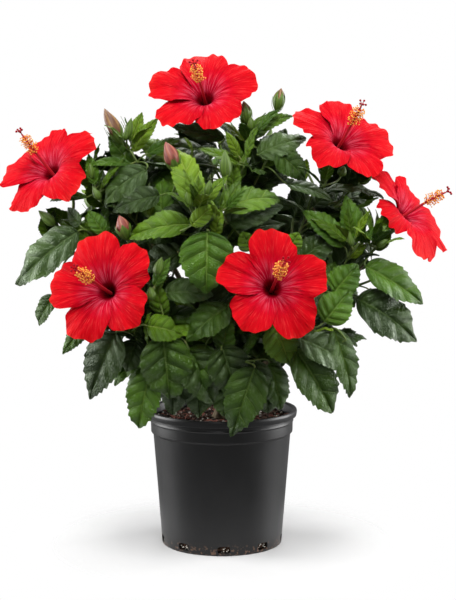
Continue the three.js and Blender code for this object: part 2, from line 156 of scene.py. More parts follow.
# The leading leaves, which set the crown's outline: the blade's base and tip from the middle of its mass's
# CAD box, its width, the direction that it faces, and its tint
LEADING_LEAVES = {
    "left": [
        ((5, -46, 50), (-65, -20, -10), 44, (-0.3, -0.85, 0.42), "grey"),
        ((-24, -20, -22), (-43, -2, -57), 22, (-0.4, -0.8, 0.3), "deep"),
        ((16, -63, -45), (-12, -54, -81), 20, (-0.3, -0.9, 0.2), "mid"),
        ((12, -20, 85), (-28, -13, 80), 16, (0, -0.6, 0.8), "mid"),
        ((7, -42, 56), (-8, -18, 74), 16, (-0.5, -0.8, 0.2), "grey"),
        ((33, -48, 48), (15, -36, 71), 18, (0.1, -0.9, 0.2), "mid"),
    ],
    "front_left": [
        ((-23, -43, 20), (-53, -17, -55), 46, (-0.3, -0.9, 0.3), "dark"),
        ((26, -49, 18), (32, -29, -53), 54, (0.05, -0.9, 0.35), "deep"),
        ((12, -35, -23), (-2, -17, -86), 36, (-0.1, -0.9, 0.3), "mid"),
        ((10, -55, 29), (46, -43, 17), 32, (0.1, -0.8, 0.55), "bright"),
        ((-3, -21, 9), (-14, -19, -25), 30, (-0.1, -0.9, 0.2), "dark"),
    ],
    "front_low": [
        ((-36, -42, 19), (-11, -30, -40), 46, (0.1, -0.9, 0.35), "dark"),
        ((-2, -46, 24), (13, -32, -33), 44, (0.1, -0.9, 0.35), "dark"),
        ((-19, -38, 25), (-30, -28, -32), 40, (-0.1, -0.9, 0.35), "deep"),
        ((4, -40, 66), (-38, -50, 30), 40, (-0.2, -0.8, 0.6), "deep"),
        ((32, -50, 2), (8, -38, -73), 44, (0, -0.95, 0.2), "deep"),
        ((32, -44, 7), (40, -32, -42), 30, (0.2, -0.9, 0.2), "dark"),
        ((48, -34, 5), (60, -22, -47), 30, (0.3, -0.9, 0.2), "deep"),
        ((-49, -14, 2), (-55, -2, -56), 38, (-0.2, -0.9, 0.3), "dark"),
        ((-25, -10, -2), (-27, 2, -60), 40, (0, -0.9, 0.3), "dark"),
        ((11, -18, -6), (-1, -6, -58), 38, (0, -0.9, 0.3), "deep"),
        ((41, -8, -4), (47, 2, -56), 36, (0.2, -0.9, 0.3), "dark"),
        ((-5, 6, 6), (-13, 20, -48), 40, (0, -0.9, 0.3), "dark"),
        ((27, 10, 4), (29, 24, -48), 38, (0, -0.9, 0.3), "dark"),
    ],
    "front": [
        ((-45, -24, -78), (6, -16, -82), 34, (0.1, -0.7, 0.7), "grey"),
        ((-18, -40, -6), (-84, -18, -24), 34, (-0.1, -0.75, 0.65), "bright"),
        ((0, -54, -12), (-1, -48, -78), 56, (0, -0.9, 0.4), "mid"),
        ((-16, -54, -6), (7, -48, 14), 18, (0.2, -0.9, 0.3), "young"),
        ((-12, -38, 12), (-33, 10, 70), 32, (0.15, -0.95, 0.3), "young"),
        ((13, -36, 10), (77, 6, 16), 34, (0, -0.75, 0.65), "bright"),
        ((21, -26, -6), (80, 6, 10), 30, (0, -0.85, 0.45), "dark"),
        ((44, -26, -34), (36, -28, -14), 20, (0, -0.9, 0.2), "bright"),
        ((86, -18, -34), (95, -16, -16), 20, (0, -0.9, 0.2), "bright"),
        ((-23, -10, -38), (-79, 10, -56), 36, (-0.2, -0.8, 0.5), "dark"),
    ],
    "upper_left": [
        ((1, -53, 9), (-47, -39, 5), 16, (0, -0.6, 0.8), "mid"),
        ((19, -63, 4), (-28, -53, -35), 38, (-0.3, -0.8, 0.5), "grey"),
        ((3, -31, 22), (30, -23, 58), 17, (-0.3, -0.9, 0.2), "young"),
        ((20, -45, 20), (59, -37, 37), 16, (0, -0.7, 0.7), "mid"),
        ((34, -83, -23), (-17, -67, -41), 30, (-0.2, -0.8, 0.5), "dark"),
    ],
    "top": [
        ((-35, -49, 15), (-1, -53, 5), 18, (0, -0.6, 0.8), "grey"),
        ((-5, -39, 26), (-63, -37, 39), 20, (0, -0.85, 0.5), "deep"),
        ((23, -31, 35), (70, -21, 50), 20, (0, -0.8, 0.6), "bright"),
        ((31, -45, 9), (84, -31, 26), 34, (0.1, -0.7, 0.7), "grey"),
        ((51, -49, 11), (83, -45, -19), 32, (0.2, -0.85, 0.4), "deep"),
    ],
    "upper_right": [
        ((-43, -70, 10), (7, -66, -9), 22, (0.1, -0.55, 0.8), "grey"),
        ((-3, -50, 0), (66, -24, -8), 26, (0.1, -0.3, 0.95), "grey"),
        ((18, -86, -56), (-25, -70, -20), 28, (0.2, -0.8, 0.5), "mid"),
        ((32, -92, -51), (20, -72, -2), 26, (0, -0.95, 0.3), "mid"),
    ],
    "right": [
        ((-16, -51, 42), (20, -27, 56), 14, (0, -0.8, 0.6), "mid"),
        ((-10, -43, 16), (55, -23, -27), 40, (0.25, -0.8, 0.5), "mid"),
        ((-19, -45, -18), (48, -21, -68), 50, (0.25, -0.85, 0.4), "dark"),
        ((-45, -69, -9), (-18, -53, 19), 34, (0.1, -0.85, 0.5), "mid"),
        ((-84, -45, 20), (-40, -27, 47), 34, (0, -0.8, 0.6), "dark"),
    ],
    "front_right": [
        ((12, -33, 20), (40, -15, 52), 36, (0.2, -0.85, 0.45), "mid"),
        ((22, -31, 12), (41, -15, -64), 30, (0.35, -0.9, 0.25), "deep"),
        ((-16, -51, 6), (39, -17, -31), 38, (0.2, -0.8, 0.55), "grey"),
        ((-18, -41, -8), (22, -19, -79), 46, (0.2, -0.9, 0.35), "deep"),
        ((-41, -53, 20), (-25, -43, -23), 40, (0.1, -0.9, 0.4), "bright"),
    ],
}

# Large leaves deep in the crown, which close it round the trunk: mass, then as above
FILLING_LEAVES = (
    ("front", (16, 38, -60), (28, 30, -116), 46, (0.1, -0.95, 0.2), "dark"),
    ("front_low", (-25, 32, 72), (-33, 24, 16), 44, (-0.1, -0.95, 0.2), "dark"),
    ("front_low", (31, 28, 66), (35, 20, 12), 42, (0.1, -0.95, 0.2), "deep"),
    ("front_low", (1, 38, 42), (-5, 32, -14), 46, (0, -0.95, 0.2), "dark"),
    ("front_right", (-38, 55, 14), (-30, 47, -40), 44, (0.1, -0.95, 0.2), "dark"),
    ("front_left", (29, 53, 23), (21, 47, -33), 44, (-0.1, -0.95, 0.2), "dark"),
    ("front_low", (-33, 56, 12), (-39, 50, -42), 42, (-0.1, -0.95, 0.2), "dark"),
    ("front_low", (31, 60, 10), (39, 54, -44), 42, (0.1, -0.95, 0.2), "dark"),
    ("front_low", (-1, 60, -6), (1, 52, -56), 40, (0, -0.95, 0.2), "dark"),
    ("back_low", (-25, -61, 14), (-31, -53, -40), 46, (-0.1, 0.95, 0.2), "dark"),
    ("back_low", (25, -59, 16), (31, -51, -38), 46, (0.1, 0.95, 0.2), "dark"),
    ("back_low", (-1, -45, -22), (1, -37, -72), 42, (0, 0.95, 0.2), "deep"),
    ("upper_left", (3, 57, -2), (33, 65, -28), 36, (0, -0.9, 0.4), "dark"),
    ("back_left", (-25, 9, 95), (-35, 17, 53), 36, (0, -0.9, 0.4), "dark"),
    ("back_right", (-53, -7, 81), (-29, 1, 37), 44, (0, -0.9, 0.4), "dark"),
    ("back_right", (-19, -7, 85), (-7, 3, 39), 44, (0, -0.9, 0.4), "dark"),
)

# Rings of drooping leaves that close the crown's underside at its sides and back: radius, height over the
# trunk's top, and how many leaves
SKIRT = ((34, -10, 8), (58, 12, 14), (80, 32, 18), (100, 52, 22), (118, 68, 22))

# Where the sky shows through the crown from the front: place along X and Z from the middle of the whole CAD
# box, and half its width and height, all in an upright plane through the crown's front
OPENING_PLANE = -60
OPENINGS = (
    (152, 31, 11, 11), (121, -13, 8, 10), (191, 50, 20, 24), (-47, 36, 6, 7), (-214, 73, 14, 15),
    (-182, 44, 18, 15), (-9, 138, 5, 7), (60, 127, 9, 5), (93, 139, 5, 7),
)

# Buds: mass, foot and tip from the middle of its CAD box, and width. One that has begun to open has the share
# of its length that is green calyx and the colour of what shows above it too
BUDS = [
    ("upper_left", (-8, -23, 27), (-28, -25, 68), 15, 0.42, "plum"),
    ("upper_left", (-3, -39, 35), (2, -41, 58), 9),
    ("upper_left", (-6, -41, 34), (-2, -43, 45), 7),
    ("front", (-31, -8, 46), (-44, -10, 78), 16, 0.36, "rose"),
    ("top", (52, -17, 54), (57, -19, 80), 12, 0.85, "plum"),
    ("top", (20, -35, 41), (16, -37, 66), 12, 0.9, "plum"),
    ("top", (25, -37, 33), (23, -39, 50), 9),
    ("front", (19, -18, 40), (18, -20, 70), 13),
    ("front", (-84, -20, -24), (-92, -22, 2), 15, 0.55, "rose"),
    ("left", (-22, -24, 55), (-39, -26, 71), 12),
    ("front_left", (20, -43, 79), (25, -45, 99), 11),
    ("front_left", (15, -49, 55), (13, -51, 69), 10),
    ("front", (-18, -48, 12), (-21, -50, 28), 8),
    ("front", (0, -48, 24), (3, -50, 40), 8),
    ("right", (-3, -41, 50), (12, -43, 59), 10),
    ("right", (2, -39, 37), (14, -41, 44), 9),
    ("right", (-26, -61, 39), (-29, -63, 54), 7),
    ("upper_right", (16, -54, 18), (20, -56, 29), 10),
    ("upper_left", (-40, -49, -8), (-42, -51, 10), 9),
    ("upper_left", (-30, -69, -28), (-38, -71, -15), 8),
    ("back_top", (-45, 35, 0), (-51, 42, 26), 11, 0.5, "rose"),
    ("back_top", (57, 1, 34), (63, 3, 56), 10),
    ("back_top", (35, 55, -8), (39, 63, 14), 10, 0.8, "plum"),
    ("back_left", (-51, 9, 65), (-65, 17, 83), 10),
    ("back_right", (47, 19, 61), (61, 29, 77), 10),
]

# Young growth: mass, foot of each tuft of small leaves from the middle of its CAD box, its direction, and how
# many leaves it has
TUFTS = [
    ("upper_left", (-35, -53, -24), (-0.1, -0.3, 1), 6),
    ("upper_left", (-1, -31, 24), (0.3, -0.3, 1), 4),
    ("front", (-10, -40, 6), (0.1, -0.4, 1), 7),
    ("front", (10, -44, 2), (0.6, -0.4, 0.8), 5),
    ("top", (22, -35, 19), (0, -0.4, 1), 6),
    ("top", (16, -77, -3), (-0.3, -0.5, 0.8), 4),
    ("right", (-4, -39, 38), (0.3, -0.4, 0.9), 6),
    ("upper_right", (-3, -68, 8), (0.1, -0.3, 1), 5),
    ("front_left", (13, -43, 61), (0.2, -0.6, 0.6), 4),
    ("right", (-24, -45, 39), (-0.2, -0.4, 0.9), 4),
    ("back_top", (25, 5, 32), (0.1, 0.3, 1), 6),
    ("back_left", (-41, 3, 69), (-0.4, 0.3, 0.9), 5),
    ("back_right", (43, 7, 63), (0.4, 0.3, 0.9), 5),
    ("back_low", (-1, 51, 60), (0, 0.8, 0.5), 4),
]


# ---- geometry helpers

def unit(vector):
    vector = np.asarray(vector, float)
    return vector / max(np.linalg.norm(vector), 1e-9)


def frame_on(along, facing):
    """Side, along and facing as three square unit vectors, with facing as near as it can be to that given."""
    along = unit(along)
    facing = np.asarray(facing, float)
    flat = facing - along * (facing @ along)
    if np.linalg.norm(flat) < 1e-3:
        flat = np.cross(along, (0.31, 0.52, 0.8))
    facing = unit(flat)
    return np.cross(along, facing), along, facing


def spoke_at(turn, side, facing):
    """The direction that is turned by an angle from side towards facing."""
    return side * math.cos(turn) + facing * math.sin(turn)


def outward(turn):
    return np.array([math.cos(turn), math.sin(turn), 0.0])


def angles(sides):
    return np.arange(sides) * 2 * math.pi / sides


def spokes(angle, side, facing):
    return np.cos(angle)[:, None] * side + np.sin(angle)[:, None] * facing


def directions(path):
    """The direction of a path at each of its points."""
    way = np.gradient(path, axis=0)
    return way / np.maximum(np.linalg.norm(way, axis=1, keepdims=True), 1e-9)


def bezier(start, control, end, steps):
    t = np.linspace(0, 1, steps + 1)[:, None]
    start, control, end = (np.asarray(p, float) for p in (start, control, end))
    return start * (1 - t) ** 2 + 2 * control * t * (1 - t) + end * t ** 2


def smoothstep(low, high, value):
    t = np.clip((value - low) / (high - low), 0, 1)
    return t * t * (3 - 2 * t)


def grid_map(columns, rows):
    return np.stack(np.meshgrid(np.linspace(0, 1, columns), np.linspace(0, 1, rows)), -1)


def stand(name, data):
    """Puts a mesh, a light or the camera in the scene."""
    thing = bpy.data.objects.new(name, data)
    bpy.context.scene.collection.objects.link(thing)
    return thing


def fill(items, field, values, kind=np.float32):
    """Sets one field of all of a mesh's items."""
    items.foreach_set(field, np.asarray(values).astype(kind).ravel())


class Pile:
    """Sheets and tubes gathered into one mesh. Each has a pattern map, and a cell in the bake map."""

    def __init__(self, materials, cells=None):
        self.materials = materials
        self.cells = cells
        self.count = 0
        self.points = []
        self.faces = []

    def add_points(self, points):
        """Adds the points, and gives the number of the first."""
        self.points.append(np.asarray(points, float).reshape(-1, 3))
        self.count += len(self.points[-1])
        return self.count - len(self.points[-1])

    def sheet(self, points, uv, material, cell=0, around=False):
        """A grid of quads, rows x columns. A round one closes on its first column; its uv has one more."""
        rows, columns = points.shape[:2]
        index = self.add_points(points) + np.arange(rows * columns).reshape(rows, columns)
        if around:
            index = np.concatenate([index, index[:, :1]], 1)
        ring = [np.s_[:-1, :-1], np.s_[:-1, 1:], np.s_[1:, 1:], np.s_[1:, :-1]]
        corners = np.stack([index[k] for k in ring], -1).reshape(-1, 4)
        self.faces.append((corners, np.stack([uv[k] for k in ring], 2).reshape(-1, 4, 2), material, cell))
        return index

    def cap(self, ring, centre, material, v):
        """A fan of triangles from a ring of vertices, whose first comes again at its end, to a point."""
        middle = self.add_points(centre)
        corners = np.stack([ring[:-1], ring[1:], np.full(len(ring) - 1, middle)], -1)
        self.faces.append((corners, np.tile((0.5, v), (len(corners), 3, 1)), material, 0))

    def skin(self, rings, material, foot=None, top=None):
        """A round skin over rings of points, closed by fans to a foot and to a top where they are given."""
        rings = np.array(rings)
        rows, sides = rings.shape[:2]
        index = self.sheet(rings, grid_map(sides + 1, rows), material, around=True)
        if foot is not None:
            self.cap(index[0][::-1], foot, material, 0.0)
        if top is not None:
            self.cap(index[-1], top, material, 1.0)

    def tube(self, path, radii, sides, material, section=None, capped=True, relief=None):
        """A tube along a path. section(angle, share) scales the radius round it and along it, and relief
        moves the points of the finished rings."""
        radii = np.broadcast_to(np.asarray(radii, float), (len(path),))
        tangents = directions(path)
        angle = angles(sides)
        side = frame_on(tangents[0], UP)[0]
        rings = []
        for step, (point, tangent, radius) in enumerate(zip(path, tangents, radii)):
            side = unit(side - tangent * (side @ tangent))
            reach = radius * (1 if section is None else section(angle, step / (len(path) - 1)))
            rings.append(point + spokes(angle, side, np.cross(tangent, side)) * np.reshape(reach, (-1, 1)))
        if relief:
            rings = relief(np.array(rings))
        ends = (path[0], path[-1] + tangents[-1] * radii[-1] * 0.6) if capped else ()
        self.skin(rings, material, *ends)

    def finish(self, name, slot, *nodes):
        """The mesh as a piece that rides on the plant and stands for the CAD nodes named."""
        mesh = bpy.data.meshes.new(name)
        corners, maps, materials, cells = zip(*self.faces)
        sizes = np.concatenate([np.full(len(c), c.shape[1]) for c in corners])
        mesh.vertices.add(self.count)
        fill(mesh.vertices, "co", np.concatenate(self.points) * MM)
        mesh.loops.add(int(sizes.sum()))
        fill(mesh.loops, "vertex_index", np.concatenate([c.ravel() for c in corners]), np.int32)
        mesh.polygons.add(len(sizes))
        fill(mesh.polygons, "loop_start", np.cumsum(sizes) - sizes, np.int32)
        kinds = [np.full(len(c), self.materials.index(m)) for c, m in zip(corners, materials)]
        fill(mesh.polygons, "material_index", np.concatenate(kinds), np.int32)
        for material in self.materials:
            mesh.materials.append(material)
        local = np.concatenate([uv.reshape(-1, 2) for uv in maps])
        pattern = mesh.uv_layers.new(name="pattern")
        fill(pattern.data, "uv", local)
        if self.cells:
            across, down = self.cells
            cell = np.concatenate([np.full(c.size, k) for c, k in zip(corners, cells)])
            corner = np.stack([cell % across / across, cell // across / down], -1)
            inset = 0.02 + 0.96 * np.clip(local, 0, 1)
            fill(mesh.uv_layers.new(name="OFBake").data, "uv", corner + inset / np.array([across, down]))
        mesh.update(calc_edges=True)
        mesh.validate()
        mesh.shade_smooth()
        pattern = mesh.uv_layers["pattern"]
        pattern.active_render = True
        mesh.uv_layers.active = pattern
        thing = stand(name, mesh)
        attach(thing, "root")
        if nodes:
            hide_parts(*nodes)
        return thing


# ---- materials

def add_node(tree, kind, links=(), **settings):
    """A new node with its settings, and each socket named joined to another or set to a value."""
    made = tree.nodes.new(kind)
    for key, value in settings.items():
        setattr(made, key, value)
    for socket, value in links:
        if isinstance(value, bpy.types.NodeSocket):
            tree.links.new(value, made.inputs[socket])
        else:
            made.inputs[socket].default_value = value
    return made


class Finish:
    """A node material, with short names for the nodes that its pattern needs."""

    def __init__(self, name, **sockets):
        self.material = bpy.data.materials.new(name)
        self.material.use_nodes = True
        self.tree = self.material.node_tree
        self.shader = self.tree.nodes["Principled BSDF"]
        for socket, value in sockets.items():
            self.shader.inputs[socket.replace("_", " ")].default_value = value

    def node(self, kind, links=(), **settings):
        return add_node(self.tree, kind, links, **settings)

    def maths(self, operation, *values):
        return self.node("ShaderNodeMath", enumerate(values), operation=operation).outputs[0]

    def times(self, a, b):
        return self.maths("MULTIPLY", a, b)

    def times_plus(self, a, b, c):
        return self.maths("MULTIPLY_ADD", a, b, c)

    def less(self, a, b):
        return self.maths("SUBTRACT", a, b)

    def step(self, value, low, high):
        """0 below low and 1 above high, smoothly; the other way round where low is the higher."""
        start, end = (0.0, 1.0) if low < high else (1.0, 0.0)
        links = [("Value", value), ("From Min", min(low, high)), ("From Max", max(low, high)),
                 ("To Min", start), ("To Max", end)]
        return self.node("ShaderNodeMapRange", links, interpolation_type="SMOOTHSTEP").outputs["Result"]

    def place(self):
        return self.node("ShaderNodeTexCoord").outputs["Object"]

    def map(self):
        pattern = self.node("ShaderNodeUVMap", uv_map="pattern").outputs[0]
        split = self.node("ShaderNodeSeparateXYZ", [(0, pattern)])
        return split.outputs[0], split.outputs[1]

    def local(self, u, v, across, along, shift=0.0):
        """The pattern map, stretched across and along."""
        x = self.times(u, across)
        y = self.times(v, along)
        return self.node("ShaderNodeCombineXYZ", [(0, x), (1, y), (2, shift)]).outputs[0]

    def stretch(self, vector, scale):
        links = [(0, vector), (1, scale)]
        return self.node("ShaderNodeVectorMath", links, operation="MULTIPLY").outputs[0]

    def noise(self, vector, scale, detail=2.0, rough=0.5):
        links = [("Vector", vector), ("Scale", scale), ("Detail", detail), ("Roughness", rough)]
        return self.node("ShaderNodeTexNoise", links).outputs[0]

    def mix(self, factor, a, b):
        return self.node("ShaderNodeMix", [(0, factor), (6, a), (7, b)], data_type="RGBA").outputs[2]

    def ramp(self, factor, *stops):
        """Colours at places from 0 to 1: each stop is a place and a colour from 0 to 255."""
        node = self.node("ShaderNodeValToRGB", [(0, factor)])
        elements = node.color_ramp.elements
        while len(elements) < len(stops):
            elements.new(0.5)
        for element, (position, colour) in zip(elements, stops):
            element.position = position
            element.color = rgb(*colour)
        return node.outputs[0]

    def bump(self, height, distance, strength=1.0):
        links = [("Height", height), ("Distance", distance * MM), ("Strength", strength)]
        self.set("Normal", self.node("ShaderNodeBump", links).outputs[0])

    def set(self, socket, value):
        self.tree.links.new(value, self.shader.inputs[socket])


def rgb(*levels):
    """A colour as it is seen, 0 to 255, as the linear RGBA that a shader takes."""
    shares = [level / 255 for level in levels]
    return (*(((s + 0.055) / 1.055) ** 2.4 if s > 0.04 else s / 12.92 for s in shares), 1)


# Each tint of leaf: colours of its blade, of the lighter patches and of the veins, then how much the veins
# show, roughness and gloss
TINTS = {
    "young": ((86, 118, 16), (116, 146, 28), (168, 186, 86), 0.52, 0.36, 0.36),
    "bright": ((62, 92, 11), (88, 122, 19), (140, 164, 72), 0.50, 0.33, 0.36),
    "mid": ((50, 83, 13), (75, 111, 23), (122, 150, 66), 0.46, 0.30, 0.44),
    "deep": ((35, 59, 10), (57, 85, 17), (98, 122, 54), 0.42, 0.29, 0.50),
    "dark": ((23, 39, 8), (42, 63, 14), (78, 100, 48), 0.38, 0.29, 0.52),
    # Painted sheen: this tint's paler, bluer colours stand in for the sheen of leaves that catch the light;
    # its higher gloss is real.
    "grey": ((38, 60, 16), (60, 84, 28), (104, 126, 74), 0.42, 0.31, 0.74),
}

LEAF_SHEEN = (0.78, 1.0, 0.64, 1)
PETAL_SHEEN = (1.0, 0.4, 0.45, 1)

# A blade's rows: side veins on each half, teeth to a vein, rows to a tooth, and how far the veins of one half
# lag behind those of the other, in veins
LEAF_VEINS = 5
LEAF_TEETH = 2
LEAF_STEPS = 4
LEAF_ROWS = LEAF_VEINS * LEAF_TEETH * LEAF_STEPS
VEIN_ROW = LEAF_TEETH * LEAF_STEPS - 1
SIDE_VEIN_LAG = 0.36


def leaf_finish(tint):
    """A leaf's blade: pale midrib and side veins, soft mottling that differs from leaf to leaf, and a
    quilted, glossy surface, with painted shade that darkens the creases beside its veins."""
    *colours, vein_share, roughness, gloss = TINTS[tint]
    blade, light, vein = (rgb(*colour) for colour in colours)
    f = Finish(f"leaf_{tint}", Roughness=roughness, Specular_IOR_Level=gloss, Specular_Tint=LEAF_SHEEN)
    u, v = f.map()
    place = f.place()
    wander = f.times(f.less(f.noise(place, 60.0, 1.0), 0.5), 0.05)
    half = f.less(u, 0.5)
    across = f.times(f.maths("ABSOLUTE", half), 2.0)
    lag = f.times(f.maths("GREATER_THAN", half, 0.0), SIDE_VEIN_LAG)
    start = 0.5 - VEIN_ROW * LEAF_VEINS / LEAF_ROWS
    rows = f.maths("ADD", f.times_plus(f.maths("ADD", v, wander), float(LEAF_VEINS), start), lag)
    from_vein = f.maths("ABSOLUTE", f.less(f.maths("FRACT", rows), 0.5))
    thickness = f.times_plus(across, -0.035, 0.060)
    side_veins = f.less(1.0, f.step(f.maths("DIVIDE", from_vein, thickness), 0.2, 1.0))
    midrib = f.step(across, 0.075, 0.025)
    veins = f.maths("MAXIMUM", midrib, f.times(side_veins, 0.85))
    links = [("Vector", f.local(u, v, 3.0, 5.0)), ("Scale", 7.0)]
    net = f.node("ShaderNodeTexVoronoi", links, feature="DISTANCE_TO_EDGE").outputs["Distance"]
    quilt = f.step(from_vein, 0.0, 0.40)
    body = f.mix(f.step(f.noise(place, 26.0, 3.0, 0.6), 0.34, 0.66), blade, light)
    # Painted shade: the blade is darkened a little, towards 45% of its colour, in the creases beside the side
    # veins, where the bump dips.
    painted_fold_shade = f.times(f.step(quilt, 0.75, 0.05), 0.14)
    shade = (*(0.45 * c for c in blade[:3]), 1)
    body = f.mix(painted_fold_shade, body, shade)
    body = f.mix(f.times(f.step(net, 0.06, 0.0), vein_share * 0.25), body, vein)
    f.set("Base Color", f.mix(f.times(veins, vein_share), body, vein))
    height = f.times_plus(quilt, 0.8, f.times(f.step(net, 0.0, 0.25), 0.35))
    f.bump(f.times_plus(veins, -0.5, height), 1.0)
    return f.material


def petal_finish():
    """Scarlet, crimson towards a maroon throat, and fine fanned veins. Painted light: a pale sheen beside
    the throat, a lighter, oranger rim, and lighter ribs with darker grooves between them.
    """
    f = Finish("petal_red", Roughness=0.55, Specular_IOR_Level=0.04, Specular_Tint=PETAL_SHEEN)
    u, v = f.map()
    wide = f.noise(f.local(u, v, 9.0, 3.0, 2.0), 1.0)
    streaks = f.noise(f.local(u, v, 26.0, 1.6, 4.0), 1.0, 3.0, 0.6)
    fine = f.noise(f.local(u, v, 60.0, 4.0, 9.0), 1.0)
    # Painted reflection: the ramp turns lighter and more orange over the outer part of the petal, up to its
    # rim.
    body = f.ramp(f.times_plus(f.less(streaks, 0.5), 0.05, v),
                  (0.00, (46, 0, 6)), (0.08, (66, 1, 8)), (0.125, (116, 2, 16)), (0.18, (176, 5, 42)),
                  (0.32, (188, 4, 38)), (0.55, (190, 6, 24)), (0.84, (194, 10, 20)), (1.00, (204, 34, 32)))
    body = f.mix(f.times(f.step(wide, 0.56, 0.32), 0.40), body, rgb(168, 3, 20))
    # Painted sheen: pale pink streaks in a ring beside the throat.
    ring = f.times(f.step(v, 0.13, 0.19), f.step(v, 0.52, 0.22))
    pale = f.times(ring, f.step(f.times_plus(wide, 0.8, streaks), 0.88, 1.06))
    body = f.mix(f.times(pale, 0.46), body, rgb(230, 104, 126))
    # Painted highlight and shade: the fine lines are lighter where the bump lifts them, and darker where it
    # sinks them.
    painted_rib_highlight = f.times(f.step(fine, 0.55, 0.70), f.step(v, 0.20, 0.34))
    body = f.mix(f.times(painted_rib_highlight, 0.40), body, rgb(228, 70, 66))
    sunk = f.times(f.step(fine, 0.42, 0.30), f.step(v, 0.20, 0.40))
    f.set("Base Color", f.mix(f.times(sunk, 0.42), body, rgb(152, 2, 18)))
    f.bump(f.times_plus(fine, 0.8, streaks), 1.3)
    return f.material


def speckled_finish(name, base, fleck, scale, roughness, relief, gloss=0.5):
    """A plain organic surface: two close colours in a fine noise, and a little relief."""
    f = Finish(name, Roughness=roughness, Specular_IOR_Level=gloss)
    grain = f.noise(f.place(), scale, 3.0)
    f.set("Base Color", f.mix(f.step(grain, 0.38, 0.64), rgb(*base), rgb(*fleck)))
    f.bump(grain, relief)
    return f.material


def ribbed_finish(name, base, rib, ribs):
    """Green sepals and bracts, or a furled bud: fine ribs that run along it."""
    f = Finish(name, Roughness=0.45, Specular_IOR_Level=0.4)
    u, v = f.map()
    lines = f.step(f.maths("SINE", f.times(u, ribs * 2 * math.pi)), 0.1, 0.95)
    mottle = f.noise(f.local(u, v, 9.0, 3.0), 2.0)
    f.set("Base Color", f.mix(f.times_plus(lines, 0.45, f.times(mottle, 0.4)), rgb(*base), rgb(*rib)))
    f.bump(lines, 0.25, 0.6)
    return f.material


def grained_finish(name, roughness, gloss, noise, relief, *stops, squeeze=None, patches=None):
    """Wood or soil: colours by a noise, which squeeze draws out along Z, with patches of another colour."""
    f = Finish(name, Roughness=roughness, Specular_IOR_Level=gloss)
    place = f.place()
    grain = f.noise(f.stretch(place, (1.0, 1.0, squeeze)) if squeeze else place, *noise)
    body = f.ramp(grain, *stops)
    if patches:
        body = f.mix(f.times(f.step(f.noise(place, 60.0), 0.52, 0.70), 0.45), body, rgb(*patches))
    f.set("Base Color", body)
    f.bump(grain, relief)
    return f.material


def bark_finish():
    stops = ((0.30, (52, 42, 32)), (0.50, (92, 78, 58)), (0.72, (136, 120, 94)))
    noise, moss = (260.0, 4.0, 0.65), (86, 92, 58)
    return grained_finish("bark", 0.78, 0.25, noise, 1.2, *stops, squeeze=0.25, patches=moss)


def twig_finish():
    stops = ((0.30, (66, 82, 36)), (0.55, (94, 116, 50)), (0.75, (110, 96, 60)))
    return grained_finish("green_twig", 0.5, 0.35, (180.0, 3.0), 0.3, *stops, squeeze=0.4)


def soil_finish():
    stops = ((0.32, (22, 15, 11)), (0.52, (54, 37, 27)), (0.70, (92, 64, 46)))
    return grained_finish("potting_soil", 0.9, 0.2, (420.0, 5.0, 0.7), 1.4, *stops)


def pot_finish():
    """Black moulded plastic: fine satin texture, faint scuffs, and dust low on the wall."""
    f = Finish("pot_black", Specular_IOR_Level=0.42)
    place = f.place()
    height = f.node("ShaderNodeSeparateXYZ", [(0, place)]).outputs[2]
    fine = f.noise(place, 900.0)
    cloud = f.noise(place, 22.0, 4.0, 0.6)
    scuffs = f.noise(f.stretch(place, (1.0, 1.0, 0.18)), 130.0, 3.0, 0.7)
    body = f.mix(f.step(cloud, 0.30, 0.75), rgb(11, 11, 12), rgb(18, 18, 19))
    dust = f.times(f.step(height, 0.015, 0.003), f.step(f.noise(place, 320.0, 3.0), 0.53, 0.62))
    f.set("Base Color", f.mix(f.times(dust, 0.75), body, rgb(112, 84, 66)))
    f.set("Roughness", f.times_plus(cloud, 0.14, 0.31))
    f.bump(f.times_plus(fine, 0.5, scuffs), 0.10, 0.5)
    return f.material


# ---- pot and soil

def revolve(pile, profile, sides, material, wobble):
    """Turns a closed profile of (radius, height) round the Z axis; it starts and ends on the axis."""
    angle = angles(sides)
    rings = []
    for radius, height in profile[1:-1]:
        reach = radius + wobble(angle, height)
        level = np.full(sides, float(height))
        rings.append(np.stack([reach * np.cos(angle), reach * np.sin(angle), level], -1))
    pile.skin(rings, material, (0, 0, profile[0][1]), (0, 0, profile[-1][1]))


def rounded(corners):
    """A profile with each (radius, height, fillet) corner rounded off by its fillet."""
    steps = 4
    line = []
    for k, (radius, height, fillet) in enumerate(corners):
        here = np.array([radius, height], float)
        if fillet == 0:
            line.append(tuple(here))
            continue
        before = unit(np.array(corners[k - 1][:2]) - here) * fillet
        after = unit(np.array(corners[k + 1][:2]) - here) * fillet
        line += [tuple(p) for p in bezier(here + before, here, here + after, steps)]
    return line


def wall_radius(height):
    share = height / POT["shoulder_height"]
    return POT["base_radius"] + (POT["shoulder_radius"] - POT["base_radius"]) * share


